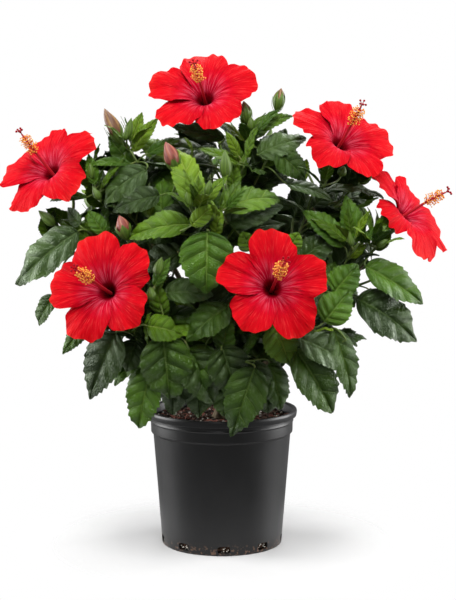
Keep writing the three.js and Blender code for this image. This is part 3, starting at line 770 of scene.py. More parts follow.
def make_pot(material):
    """A nursery pot: tapered wall, shoulder, banded collar with a bead, rolled lip and foot slots."""
    top, lip, wall, base = POT["height"], POT["lip_radius"], POT["wall"], POT["base_radius"]
    shoulder, band, floor = POT["shoulder_height"], POT["band_radius"], POT["floor"]
    under_lip = top - POT["lip_height"]
    outer = [
        (0, 1.2, 0), (base - 9, 1.2, 0.8), (base - 7, 0, 0.6), (base, 0, 1.6),
        *((wall_radius(height), height, 0.1) for height in (14, 20, 64)),
        (POT["shoulder_radius"], shoulder, 1.0), (band, shoulder + 1.4, 0.9),
        (band + 0.2, under_lip - 6.4, 0.3), (band + 1.1, under_lip - 5, 0.6),
        (band + 0.2, under_lip - 3.6, 0.3), (band + 0.3, under_lip, 0.5), (lip - 0.9, under_lip + 0.2, 0.8),
        (lip, top - 2.4, 0.9), (lip - 0.8, top, 0.8), (lip - POT["lip_thickness"], top - 0.6, 1.6),
    ]
    inner = [
        (band - wall, under_lip - 2, 1.0), (band - wall - 0.3, shoulder + 2, 1.0),
        (POT["shoulder_radius"] - wall, shoulder, 1.0),
        (base - wall, floor + 2, 1.5), (base - wall - 3, floor, 1.0), (0, floor, 0),
    ]

    def wobble(angle, height):
        lifted = smoothstep(0.6 * top, top, height)
        return 0.45 * lifted * np.sin(2 * angle + 0.6) + 0.15 * np.sin(5 * angle + height * 0.02)

    pile = Pile([material])
    revolve(pile, rounded(outer + inner), 180, material, wobble)
    pot = pile.finish("pot_wall", "pot", "pot")
    cut_slots(pot)


def slot_turn(number, shift=0.0):
    """The turn of a foot slot about the pot's axis, and a shift from there in degrees."""
    return math.radians(SLOT["turn"] + 360 / SLOT["count"] * number - 90 + shift)


def cut_slots(pot):
    """Arched slots through the foot of the wall, cut by one joined cutter."""
    material = pot.data.materials[0]
    cutters = Pile([material])
    half, low, high, corner = SLOT["width"] / 2, SLOT["low"], SLOT["high"], 1.5
    arch = np.linspace(0, math.pi, 9)
    outline = [(half * math.cos(a), high + SLOT["arch"] * math.sin(a)) for a in arch]
    outline += [(-half, low + corner), (corner - half, low), (half - corner, low), (half, low + corner)]
    middle = UP * (low + high) / 2
    for k in range(SLOT["count"]):
        out = outward(slot_turn(k))
        across = np.cross(UP, out)
        rings = []
        for reach in (POT["base_radius"] - SLOT["depth"], POT["base_radius"] + SLOT["depth"]):
            rings.append([out * reach + across * x + UP * z for x, z in outline])
        ends = [np.mean(ring, 0) * LEVEL + middle for ring in rings]
        cutters.skin(rings, material, *ends)
    cutter = cutters.finish("slot_cutter", "pot")
    modifier = pot.modifiers.new("slots", "BOOLEAN")
    modifier.operation = "DIFFERENCE"
    modifier.solver = "EXACT"
    modifier.object = cutter
    bpy.context.view_layer.objects.active = pot
    pot.select_set(True)
    bpy.ops.object.modifier_apply(modifier=modifier.name)
    bpy.data.objects.remove(cutter)
    pot.data.set_sharp_from_angle(angle=math.radians(38))


def soil_height(x, y):
    share = min(1.0, math.hypot(x, y) / POT["shoulder_radius"])
    ripple = noise.fractal(Vector((x, y, 0)) * SOIL["ripple_pace"], 1.0, 2.0, 4) * SOIL["ripple"]
    return SOIL["middle"] + (SOIL["edge"] - SOIL["middle"]) * share ** 2 + ripple - 0.6


def make_soil(material):
    """The soil as one crumbly plug that fills the pot, so that it shows in the foot slots too."""
    angle = angles(150)
    rings = []
    for radius in np.linspace(4, SOIL["reach"], 34):
        ring = [(radius * math.cos(a), radius * math.sin(a)) for a in angle]
        rings.append([(x, y, soil_height(x, y)) for x, y in ring])
    for height in np.linspace(SOIL["edge"] - 6, SOIL["foot"] + 2, 60):
        reach = min(wall_radius(height), POT["shoulder_radius"]) - POT["wall"] - 0.5
        ring = []
        for a in angle:
            direction = Vector((math.cos(a), math.sin(a), 0))
            crumb = noise.noise(Vector((0, 0, height * 0.5)) + direction * 36)
            ring.append((*(direction * (reach - 0.6 + 0.5 * crumb))[:2], height))
        rings.append(ring)
    pile = Pile([material])
    pile.skin(rings[::-1], material, (0, 0, SOIL["foot"]), (0, 0, soil_height(0, 0)))
    pile.finish("soil_bed", "soil", "soil")


def pebble(pile, rng, centre, size, material):
    """A small irregular lump: a jittered tube of three rings, longer than it is wide."""
    long, wide, thick = size
    turn = rng.uniform(0, math.pi)
    along = np.array([math.cos(turn), math.sin(turn), rng.uniform(-0.25, 0.35)])
    side, along, facing = frame_on(along, (rng.uniform(-0.5, 0.5), rng.uniform(-0.5, 0.5), 1))
    rings = []
    for share, scale in ((-0.42, 0.75), (0.0, 1.0), (0.42, 0.7)):
        ring = []
        for a in angles(6):
            r = scale * rng.uniform(0.75, 1.1) / 2
            off = facing * math.cos(a) * thick * r + side * math.sin(a) * -wide * r
            ring.append(centre + along * (share * long + rng.uniform(-0.04, 0.04) * long) + off)
        rings.append(ring)
    pile.skin(rings, material, centre - along * long / 2, centre + along * long / 2)


def scattered(rng, reach):
    """A place on the soil, at random and evenly spread: its distance from the pot's axis, x and y."""
    radius = reach * math.sqrt(rng.random())
    turn = rng.uniform(0, 2 * math.pi)
    return radius, radius * math.cos(turn), radius * math.sin(turn)


def make_chips(materials):
    """Bark chips on the soil, clear of the trunk."""
    rng = random.Random(SEEDS["chips"])
    chips = Pile(materials)
    for k in range(CHIPS["count"]):
        radius, x, y = scattered(rng, CHIPS["reach"])
        if radius < TRUNK["base_radius"] + CHIPS["off_trunk"]:
            continue
        long = rng.uniform(3.5, 9.5)
        size = (long, long * rng.uniform(0.35, 0.6), long * rng.uniform(0.18, 0.34))
        centre = np.array([x, y, soil_height(x, y) + size[2] * rng.uniform(0.1, 0.8)])
        pebble(chips, rng, centre, size, materials[k % len(materials)])
    chips.finish("bark_chips", "soil")


def make_grit(material):
    """Pale grit on the soil, and caught in the foot slots."""
    rng = random.Random(SEEDS["grit"])
    grit = Pile([material])

    def grain_at(x, y, z, grain):
        pebble(grit, rng, np.array([x, y, z]), (grain, grain * 0.85, grain * 0.7), material)

    for _ in range(GRIT["count"]):
        radius, x, y = scattered(rng, GRIT["reach"])
        grain = rng.uniform(1.4, 3.2)
        if radius > TRUNK["base_radius"] + GRIT["off_trunk"]:
            grain_at(x, y, soil_height(x, y) + grain * 0.4, grain)
    for k in range(SLOT["count"]):
        for _ in range(GRIT["in_a_slot"]):
            turn = slot_turn(k, rng.uniform(-4.6, 4.6))
            height = rng.uniform(SLOT["low"] + 0.6, SLOT["high"] - 0.4)
            reach = wall_radius(height) - POT["wall"] - rng.uniform(0.2, 0.9)
            grain_at(reach * math.cos(turn), reach * math.sin(turn), height, rng.uniform(0.9, 2.0))
    grit.finish("perlite_grains", "soil")


# ---- trunk, boughs and shoots

def trunk_path(steps):
    foot = UP * TRUNK_LOW[2]
    return bezier(foot, foot + UP * 0.6 * (TRUNK_TOP - foot), TRUNK_TOP, steps)


def bough_path(name, steps):
    """From its fork on the trunk to the middle of its mass, sagging a little on the way."""
    offset, _, fork = MASSES[name]
    trunk = trunk_path(60)
    start = trunk[np.abs(trunk[:, 2] - (TRUNK_TOP[2] - fork)).argmin()]
    end = MASS_MIDDLE[name] + offset
    control = (start + end) / 2 - UP * BOUGH["sag"] * np.linalg.norm(end - start)
    return bezier(start, control, end, steps)


def bark_relief(rings, deep, lumps):
    """Pushes a tube's rings in and out for long ridges and shallow cracks."""
    middle = rings.mean(1, keepdims=True)
    out = rings.copy()
    for i, ring in enumerate(rings):
        for j, point in enumerate(ring):
            place = Vector(point) * lumps
            ridge = noise.fractal(Vector((place.x, place.y, place.z * 0.25)), 1.0, 2.1, 4)
            crack = abs(noise.noise(Vector((place.x * 2.2, place.y * 2.2, place.z * 0.6))))
            out[i, j] += unit(point - middle[i, 0]) * (ridge - 0.8 * max(0.0, 0.16 - crack) * 4) * deep
    return out


def make_bark(material):
    """One relief mesh for the trunk and the boughs."""
    pile = Pile([material])
    steps = 90
    path = trunk_path(steps)
    height = path[:, 2] - path[0, 2]
    radii = TRUNK["base_radius"] + (TRUNK["top_radius"] - TRUNK["base_radius"]) * (height / height[-1])
    flare = TRUNK["flare"] * np.exp(-height / TRUNK["flare_height"])

    def roots(angle, along):
        k = int(round(along * steps))
        return 1 + flare[k] * (0.7 + 0.3 * np.cos(5 * angle + 0.7)) / radii[k] + 0.03 * np.sin(3 * angle)

    pile.tube(path, radii, 56, material, section=roots, relief=lambda rings: bark_relief(rings, 0.55, 0.22))
    for number, name in enumerate(MASSES):
        path = bough_path(name, 46)
        radii = np.linspace(BOUGH["base_radius"], BOUGH["tip_radius"], len(path))
        lumps = 0.35 + 0.01 * number
        pile.tube(path, radii, 18, material, relief=lambda rings: bark_relief(rings, 0.28, lumps))
    pile.finish("trunk_and_boughs", "bark", "trunk", *[f"bough_{name}" for name in MASSES])


class Skeleton:
    """The woody lines that shoots and stalks grow from: points, and the direction of growth at each."""

    def __init__(self):
        self.points = np.zeros((0, 3))
        self.ways = np.zeros((0, 3))

    def add(self, path, skipped):
        """Adds a path, without its first points."""
        self.points = np.concatenate([self.points, path[skipped:]])
        self.ways = np.concatenate([self.ways, directions(path[skipped:])])

    def nearest(self, point, back):
        """The closest point, the way of growth there, and its distance; points behind, against back, are
        favoured."""
        offset = self.points - point
        gap = np.linalg.norm(offset, axis=1)
        k = (gap + 0.6 * np.maximum(0, offset @ unit(back))).argmin()
        return self.points[k], self.ways[k], float(np.linalg.norm(offset[k]))


# ---- room in the crown

class Room:
    """Where a leaf may grow: in the crown's masses, off the blooms, and not through or over other leaves."""

    VOXEL = 4.0

    def __init__(self):
        points, faces = [], []
        for name in MASSES:
            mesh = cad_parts[f"leaves_{name}"].data
            start = len(points)
            points += [v.co / MM for v in mesh.vertices]
            faces += [[start + i for i in p.vertices] for p in mesh.polygons]
        self.tree = BVHTree.FromPolygons(points, faces)
        self.taken = set()
        self.shields = []

    def outside(self, point):
        """How far a point is outside the masses; below 0 where it is inside one."""
        place, normal, _, distance = self.tree.find_nearest(Vector(point))
        return distance if (Vector(point) - place).dot(normal) > 0 else -distance

    def near_bloom(self, points, margin=3.0):
        """Whether any point is in a corolla or in the open space before it."""
        for name, throat in THROATS.items():
            local = (points - throat) @ np.stack(AXES[name], -1)
            reach = np.hypot(local[:, 0], local[:, 1])
            height = local[:, 2] - corolla_height(np.minimum(reach, BLOOM["radius"]))
            beside = reach < BLOOM["radius"] + BLOOM["clear_beside"]
            if np.any(beside & (height > -margin) & (height < BLOOM["clear_before"])):
                return True
        return False

    def shield(self, base, tip, width):
        """Remembers a leading leaf, so that no later leaf grows between it and the front."""
        ends = [(p - EYE)[[0, 2]] / (p - EYE)[1] for p in (base, tip)]
        middle, half = (ends[0] + ends[1]) / 2, (ends[1] - ends[0]) / 2
        self.shields.append((middle, half, base[1], tip[1], width))

    def hides_a_leader(self, points):
        seen = (points - EYE)[:, [0, 2]] / (points - EYE)[:, 1:2]
        for middle, half, base_depth, tip_depth, width in self.shields:
            length = max(np.linalg.norm(half), 1e-6)
            along = (seen - middle) @ (half / length) / length
            across = (seen - middle) @ (np.array([-half[1], half[0]]) / length) * -EYE[1] / (width / 2)
            depth = base_depth + (tip_depth - base_depth) * (along + 1) / 2
            if np.any((along ** 2 + across ** 2 < 0.8) & (points[:, 1] < depth + 2)):
                return True
        return False

    def closes_an_opening(self, points):
        """Whether any point hides one of the openings from the front."""
        share = (OPENING_PLANE - EYE[1]) / (points[:, 1] - EYE[1])
        seen = EYE[[0, 2]] + (points - EYE)[:, [0, 2]] * share[:, None] - CROWN_MIDDLE[[0, 2]]
        return any(np.any(((seen[:, 0] - x) / wide) ** 2 + ((seen[:, 1] - z) / high) ** 2 < 1)
                   for x, z, wide, high in OPENINGS)

    def in_the_way(self, points):
        return self.near_bloom(points) or self.hides_a_leader(points) or self.closes_an_opening(points)

    def voxels(self, points):
        return set(map(tuple, np.floor(points.reshape(-1, 3) / self.VOXEL).astype(int)))

    def crowding(self, points):
        """Share of the points that fall where another leaf is."""
        cells = self.voxels(points)
        return sum(c in self.taken for c in cells) / len(cells)


# ---- leaves

# Where a blade's columns stand from the midrib out, and how far each row of a tooth reaches
LEAF_SIDE = (0.0, 0.06, 0.22, 0.41, 0.61, 0.82, 1.0)
LEAF_ACROSS = np.array([-s for s in LEAF_SIDE[:0:-1]] + list(LEAF_SIDE))[None, :]
LEAF_MAP = np.stack(np.meshgrid(0.5 + LEAF_ACROSS[0] / 2, np.linspace(0, 1, LEAF_ROWS + 1)), -1)
TOOTH_REACH = np.array([-0.6, -0.1, 0.45, 1.0])
TOOTH_DEPTH = 0.046


def leaf_outline(rng):
    """Rows of the blade on its flat: where each starts on the midrib, and where and how far out it ends."""
    t = np.linspace(0, 1, LEAF_ROWS + 1)
    swell = t ** rng.uniform(0.48, 0.58) * (1 - t) ** rng.uniform(0.82, 1.02)
    half_width = swell / swell.max()
    toothed = smoothstep(0.20, 0.44, t) * (1 - t) ** 0.35
    teeth = np.array([rng.uniform(0.55, 1.35) for _ in range(LEAF_VEINS * LEAF_TEETH + 1)])
    row = np.arange(LEAF_ROWS + 1)
    reach = TOOTH_REACH[row % LEAF_STEPS] * toothed * teeth[row // LEAF_STEPS]
    margin = t + 0.012 * np.maximum(reach, 0)
    margin[-1] = 1
    midrib = t - 0.23 * np.sin(math.pi * t) ** 0.9 * (1 - 0.25 * t)
    return t, margin, midrib, half_width, reach


def leaf_points(length, width, bend, twist, rng):
    """The blade at its own origin: side along X, base to tip along Y, and its face along Z."""
    t, margin, midrib, half_width, reach = leaf_outline(rng)
    side, out = LEAF_ACROSS, np.abs(LEAF_ACROSS)
    y = midrib[:, None] + (margin - midrib)[:, None] * out ** 1.25
    half = np.maximum(half_width * width / 2, 0.5)
    x = side * (half[:, None] + (reach * TOOTH_DEPTH * (0.3 * length + 0.4 * width))[:, None] * out ** 2)
    row = (np.arange(LEAF_ROWS + 1) - VEIN_ROW)[:, None] * LEAF_VEINS / LEAF_ROWS + SIDE_VEIN_LAG * (side > 0)
    between = np.abs(np.sin(math.pi * row)) ** 0.8
    quilt = between * np.sin(math.pi * out ** 0.75) * np.minimum(1, 3.5 * half_width)[:, None]
    crease = np.exp(-(out / 0.10) ** 2)
    cup, roll = rng.uniform(0.15, 0.65), rng.uniform(0.45, 1.15)
    z = cup * half[:, None] * (out - roll * out ** 2)
    z = z + rng.uniform(0.032, 0.068) * width * quilt - 0.022 * width * crease
    shift = rng.random()
    ripple = np.sin(2 * math.pi * (rng.uniform(1.8, 3.0) * y + shift) + (side > 0) * 1.7)
    z = z + rng.uniform(0.015, 0.055) * width * out ** 2 * ripple * smoothstep(0.0, 0.25, t)[:, None]
    sway = twist * (y - 0.4)
    x, z = x * np.cos(sway) - z * np.sin(sway), x * np.sin(sway) + z * np.cos(sway)
    return bend_blade(x, y * length, z, length, bend, rng.uniform(1.0, 2.0))


def bend_blade(x, y, z, length, bend, late):
    """Curls the blade along its length by bend radians, more towards its tip where late is above 1, with base
    and tip kept on the Y axis."""
    steps = 40
    share = np.linspace(0, 1, steps + 1)
    heading = bend * (0.5 - share ** late)
    line = np.stack([np.cos(heading), np.sin(heading)], -1)
    spine = np.concatenate([[[0, 0]], np.cumsum((line[1:] + line[:-1]) / 2 / steps, 0)])
    size = np.linalg.norm(spine[-1])
    turn = math.atan2(spine[-1][1], spine[-1][0])
    at = np.clip(y / length, 0, 1)
    sy, sz = np.interp(at, share, spine[:, 0]), np.interp(at, share, spine[:, 1])
    angle = np.interp(at, share, heading)
    oy, oz = sy * length - np.sin(angle) * z, sz * length + np.cos(angle) * z
    level_y = (oy * math.cos(turn) + oz * math.sin(turn)) / size
    level_z = (oz * math.cos(turn) - oy * math.sin(turn)) / size
    return np.stack([x, level_y, level_z], -1)


class Crown:
    """Grows the shoots and leaves, and keeps the leaves by mass."""

    def __init__(self, tints, twig):
        self.tints = tints
        self.twig = twig
        self.leaves = {name: Pile(list(tints.values()), cells=(3, 2)) for name in MASSES}
        self.twigs = Pile([twig])
        self.room = Room()
        self.skeleton = Skeleton()
        self.skeleton.add(trunk_path(40), 12)
        for name in MASSES:
            self.skeleton.add(bough_path(name, BOUGH["steps"]), 6)

    def shoot(self, start, end, way, radius, steps=12):
        """A woody shoot from the skeleton, which sets off along way and turns up to its end."""
        span = np.linalg.norm(end - start)
        control = start + unit(unit(way) + unit(end - start)) * span * 0.5 - UP * span * 0.18 * 0.3
        path = bezier(start, control, end, steps)
        self.twigs.tube(path, np.linspace(radius, radius * SHOOT["taper"], len(path)), 8, self.twig)
        self.skeleton.add(path, 2)
        return path

    def stalk(self, start, way, end, heading, radius, sides=6, steps=7):
        """A petiole or flower stalk that leaves the wood along way and arrives along heading."""
        span = np.linalg.norm(end - start)
        near = start + unit(way) * span * 0.35
        far = end - unit(heading) * span * 0.35
        t = np.linspace(0, 1, steps + 1)[:, None]
        path = start * (1 - t) ** 3 + 3 * near * t * (1 - t) ** 2 + 3 * far * t * t * (1 - t) + end * t ** 3
        radii = np.linspace(radius * PETIOLE["taper"], radius, len(path))
        self.twigs.tube(path, radii, sides, self.twig)

    def blade(self, base, tip, width, facing, rng, bend=None, droop=0.0):
        """A leaf's points from its base to its tip. Its bend is drawn at random where it isn't given."""
        side, along, face = frame_on(tip - base, facing)
        bend = rng.uniform(0.35, 0.95) if bend is None else bend
        twist = rng.uniform(-0.45, 0.45)
        local = leaf_points(np.linalg.norm(tip - base), width, bend + droop, twist, rng)
        return base + local @ np.stack([side, along, face])

    def plant(self, mass, points, tint):
        self.leaves[mass].sheet(points, LEAF_MAP, self.tints[tint], cell=list(TINTS).index(tint))
        self.room.taken |= self.room.voxels(points)

    def join(self, base, tip, facing):
        """A petiole from the nearest wood to a blade's base; wood that is too far sends out a shoot first."""
        heading = unit(unit(tip - base) + unit(facing) * -0.25)
        start, way, gap = self.skeleton.nearest(base, heading)
        if gap > PETIOLE["longest"]:
            inward = base - heading * 16 - unit(facing) * 8
            self.shoot(start, inward, way, SHOOT["side_radius"], steps=9)
            start, way, gap = self.skeleton.nearest(base, heading)
        self.stalk(start, unit(way) + unit(base - start), base, heading, PETIOLE["set_radius"])


def sample(points):
    return points[::5, ::2].reshape(-1, 3)


def seeded_directions(rng, count):
    """Directions spread evenly over a sphere, each shifted a little."""
    for k in range(count):
        z = 1 - 2 * (k + 0.5) / count
        turn = GOLDEN_TURN * k + rng.uniform(-0.4, 0.4)
        r = math.sqrt(1 - z * z)
        yield unit((r * math.cos(turn), r * math.sin(turn), z + rng.uniform(-0.15, 0.15)))


def grow_shoots(crown, name, rng):
    """Each bough ends in its mass, and forks there into shoots that reach towards the mass's skin."""
    reach = np.array(MASSES[name][1], float)
    bough = bough_path(name, BOUGH["steps"])
    out = unit(bough[-1] * LEVEL)
    paths = []
    for direction in seeded_directions(rng, SHOOT["tries"]):
        if direction @ (out + 0.8 * UP) < -0.35:
            continue
        end = bough[-1] + direction * reach * rng.uniform(0.62, 0.86)
        if crown.room.outside(end) > -4 or crown.room.near_bloom(end[None], 14):
            continue
        if crown.room.closes_an_opening(end[None]):
            continue
        k = rng.randrange(BOUGH["bare_steps"], BOUGH["steps"])
        way = unit(bough[k] - bough[k - 1]) + direction * 0.7
        paths.append(crown.shoot(bough[k], end, way, SHOOT["radius"]))
    return paths


def grow_set_leaves(crown):
    """The leaves with places of their own: those that set the outline, and those that close the crown."""
    rng = random.Random(SEEDS["set_leaves"])
    leading = [(name, *row) for name, rows in LEADING_LEAVES.items() for row in rows]
    for number, (name, base, tip, width, facing, tint) in enumerate([*leading, *FILLING_LEAVES]):
        base, tip = MASS_MIDDLE[name] + base, MASS_MIDDLE[name] + tip
        if number < len(leading):
            crown.room.shield(base, tip, width)
        crown.plant(name, crown.blade(base, tip, width, facing, rng), tint)
        crown.join(base, tip, facing)


def pick_tint(rng, age, depth):
    """Young leaves are light; those deep inside the crown take the dark tints, a painted shade of the crown's
    inside.
    """
    if age > 0.82:
        return rng.choice(("young", "bright", "bright"))
    # Painted shade: a leaf whose middle lies more than 16 mm inside the masses takes only the dark tints.
    if depth > 16:
        return rng.choice(("dark", "dark", "deep"))
    if age > 0.55:
        return rng.choice(("bright", "mid", "mid", "deep"))
    return rng.choice(("mid", "deep", "deep", "dark", "dark", "grey"))


def grow_leaves_on(crown, name, path, rng):
    """Alternate leaves up a shoot: large and drooping at its foot, small and upright at its tip."""
    lengths = np.concatenate([[0], np.cumsum(np.linalg.norm(np.diff(path, axis=0), axis=1))])
    total = lengths[-1]
    turn = rng.uniform(0, 2 * math.pi)
    at = total * 0.22
    while at < total:
        turn += GOLDEN_TURN
        age = at / total
        point = np.array([np.interp(at, lengths, path[:, k]) for k in range(3)])
        k = min(len(path) - 2, int(np.searchsorted(lengths, at)))
        way = unit(path[k + 1] - path[k])
        side, _, up = frame_on(way, UP)
        grow_leaf(crown, name, point, way, spoke_at(turn, side, up), age, rng)
        at += LEAF["spacing"] * rng.uniform(0.8, 1.2) * (1.15 - 0.45 * age)


def grow_leaf(crown, name, point, way, spoke, age, rng):
    """One leaf, turned and shortened until it has room; none where there is none."""
    room = crown.room
    out = unit(point * LEVEL)
    for attempt in range(LEAF["tries"]):
        size = (1 - 0.52 * age ** 2.2) * rng.uniform(0.84, 1.08) * (1 - 0.07 * attempt)
        length = LEAF["length"] * size
        lean = unit(spoke + out * 0.45 + rng.uniform(-0.3, 0.3) * way + UP * (0.55 * age - 0.1))
        petiole = rng.uniform(15, 27) * size
        base = point + unit(lean + way * 0.6) * petiole
        droop = rng.uniform(0.25, 0.85) * (1 - age) - 0.35 * age
        heading = unit(lean + way * 0.35 * age - UP * droop)
        facing = unit(UP * 0.75 + out * 0.55 + spoke * 0.15)
        width = length * rng.uniform(0.52, 0.66)
        points = crown.blade(base, base + heading * length, width, facing, rng, droop=0.25 * (1 - age))
        probe = sample(points)
        if max(room.outside(p) for p in probe) > LEAF["past_skin"]:
            spoke = unit(np.cross(way, spoke) + spoke * 0.5)
            continue
        if room.in_the_way(probe) or room.crowding(points) > LEAF["crowding"]:
            continue
        depth = -room.outside(points[LEAF_ROWS // 2, len(LEAF_SIDE) - 1])
        crown.plant(name, points, pick_tint(rng, age, depth))
        crown.stalk(point, unit(lean + way), base, unit(heading + lean), PETIOLE["radius"])
        return


def grow_tufts(crown):
    """Small bright leaves that have just opened, packed round the ends of the leading shoots."""
    rng = random.Random(SEEDS["tufts"])
    for name, foot, direction, count in TUFTS:
        foot = MASS_MIDDLE[name] + foot
        direction = unit(direction)
        start, way, gap = crown.skeleton.nearest(foot, direction)
        if gap > 4:
            crown.shoot(start, foot, way, SHOOT["tuft_radius"], steps=8)
        side, _, up = frame_on(direction, UP)
        for k in range(count):
            spoke = spoke_at(GOLDEN_TURN * k + rng.uniform(-0.3, 0.3), side, up)
            inner = k / count
            heading = unit(direction * (0.6 + inner) + spoke * (0.9 - 0.4 * inner))
            base = foot + direction * (2 + 9 * inner) + spoke * 3 + heading * 4
            length = (42 - 20 * inner) * rng.uniform(0.85, 1.1)
            facing = unit(direction - spoke * 0.9)
            points = crown.blade(base, base + heading * length, length * 0.40, facing, rng, bend=0.5)
            if crown.room.near_bloom(sample(points), 1.0):
                continue
            crown.plant(name, points, rng.choice(("young", "bright", "bright", "mid")))
            start = foot + direction * 9 * inner
            crown.stalk(start, heading + direction, base, heading, PETIOLE["tuft_radius"], steps=4)


def grow_skirt(crown):
    """Rings of leaves that hang under the crown at its sides and back, each in the mass nearest to it."""
    rng = random.Random(SEEDS["skirt"])
    for radius, height, count in SKIRT:
        for k in range(count):
            out = outward(2 * math.pi * (k + rng.uniform(-0.3, 0.3)) / count)
            base = TRUNK_TOP + out * (radius * 1.12, radius, 0) + UP * (height + rng.uniform(-10, 10))
            around = np.cross(UP, out)
            heading = unit(out * rng.uniform(0.15, 0.6) + around * rng.uniform(-0.35, 0.35) - UP)
            length = rng.uniform(48, 64)
            tip = base + heading * length
            facing = unit(out + UP * 0.4 + around * rng.uniform(-0.3, 0.3))
            points = crown.blade(base, tip, length * rng.uniform(0.60, 0.72), facing, rng)
            if out[1] < -0.30 or crown.room.in_the_way(sample(points)):
                continue
            if crown.room.crowding(points) > LEAF["skirt_crowding"]:
                continue
            name = min(MASSES, key=lambda m: np.linalg.norm((base - MASS_MIDDLE[m]) / MASSES[m][1]))
            crown.plant(name, points, rng.choice(("mid", "deep", "deep", "dark")))
            crown.join(base, tip, facing)


def grow_crown(tints, twig):
    crown = Crown(tints, twig)
    shoots = {}
    for number, name in enumerate(MASSES):
        shoots[name] = grow_shoots(crown, name, random.Random(SEEDS["shoots"] + number))
    grow_set_leaves(crown)
    grow_tufts(crown)
    for number, name in enumerate(MASSES):
        rng = random.Random(SEEDS["leaves"] + number)
        for path in shoots[name]:
            grow_leaves_on(crown, name, path, rng)
    grow_skirt(crown)
    return crown


# ---- blooms

def bloom_axes(faces):
    """A bloom's own right, up and forward."""
    forward = unit(faces)
    across = unit(np.cross(UP, forward))
    return across, np.cross(forward, across), forward


AXES = {name: bloom_axes(row[1]) for name, row in BLOOMS.items()}


def corolla_height(reach):
    """The funnel's height above the throat at a distance from its axis; it folds back a little at the rim."""
    return -16 + 32 * (1 - np.exp(-reach / 11)) - 0.0062 * np.maximum(reach - 35, 0) ** 2


PETAL_OVERLAP = 11  # degrees
PETAL_ROWS = 34
PETAL_COLUMNS = 40


def petal_points(turn, sweep, length, lift, rng):
    """One broad petal in the bloom's own frame: fanned from the throat, pleated, ruffled at its rim, and
    lapping the next. sweep is how far it spreads to either side of its middle."""
    r = np.linspace(0, 1, PETAL_ROWS + 1)[:, None]
    s = np.linspace(-1, 1, PETAL_COLUMNS + 1)[None, :]
    shift = [rng.uniform(0, 2 * math.pi) for _ in range(9)]
    shoulder = rng.uniform(2.2, 3.0)
    rim = length * (1 - rng.uniform(0.56, 0.64) * np.abs(s) ** shoulder)
    for number, (depth, pace) in enumerate(((1.5, 3.9), (1.2, 9.5), (0.8, 20))):
        rim = rim + depth * np.sin(pace * s + shift[number])
    reach = 2 + (rim - 2) * r
    spread = np.where(s < 0, sweep[0], sweep[1])
    angle = np.radians(turn + s * spread * (0.93 + 0.07 * r))
    open_share = smoothstep(11, 26, reach)
    rim_share = r ** 3 * (1 - 0.35 * s ** 2)
    z = corolla_height(reach) + 1.9 * s * open_share
    z = z + (lift - rng.uniform(-1.5, 3.0)) * smoothstep(24, 66, reach) * 1.6
    waves = (((1.5, 3.0), open_share * r ** 2, 1.3), ((1.3, 2.2), rim_share, 2.9),
             ((0.8, 1.3), rim_share * r ** 3, 6.1))
    for number, (depths, share, pace) in enumerate(waves, 3):
        z = z + rng.uniform(*depths) * share * np.sin(math.pi * pace * s + shift[number])
    z = z + 0.8 * r ** 7 * np.sin(math.pi * 9 * s + shift[6])
    pleat = np.sin(math.pi * 6.5 * s + shift[7]) + 0.7 * np.sin(math.pi * 10.7 * s + shift[8])
    z = z + 0.42 * pleat * open_share * (1 - 0.5 * r)
    z = z - 1.3 * np.exp(-(s / 0.08) ** 2) * open_share * (1 - r) ** 0.5
    uv = np.stack(np.broadcast_arrays((s + 1) / 2, reach / 64), -1)
    return np.stack([reach * np.cos(angle), reach * np.sin(angle), z], -1)[:, ::-1], uv[:, ::-1]


def each_bloom(draws):
    """Each bloom's name, its own random draws, and its right, up and forward as rows."""
    for number, name in enumerate(BLOOMS):
        yield name, random.Random(SEEDS[draws] + number), np.stack(AXES[name])


def make_petals(material):
    """The five petals of each bloom, lapped one over the next all the way round."""
    for name, rng, axes in each_bloom("petals"):
        pile = Pile([material], cells=(1, 1))
        turns = [row[0] for row in PETALS[name]]
        for number, (turn, length, lift) in enumerate(PETALS[name]):
            before = (turn - turns[number - 1]) % 360
            after = (turns[(number + 1) % len(turns)] - turn) % 360
            sweep = (before / 2 + PETAL_OVERLAP, after / 2 + PETAL_OVERLAP)
            points, uv = petal_points(turn, sweep, length, lift, rng)
            pile.sheet(THROATS[name] + points @ axes, uv, material)
        pile.finish(f"petals_{name}", "petal", f"bloom_{name}")


def ball(pile, centre, radius, material, axis, stretch, sides, rows):
    """A small round or oval grain."""
    side, along, facing = frame_on(axis, (0.3, 0.5, 0.7))
    rings = []
    for p in np.linspace(0, math.pi, rows + 2)[1:-1]:
        middle = centre - along * math.cos(p) * radius * stretch
        rings.append([middle + spoke_at(a, facing, side) * math.sin(p) * radius for a in angles(sides)])
    end = along * radius * stretch
    pile.skin(rings, material, centre - end, centre + end)


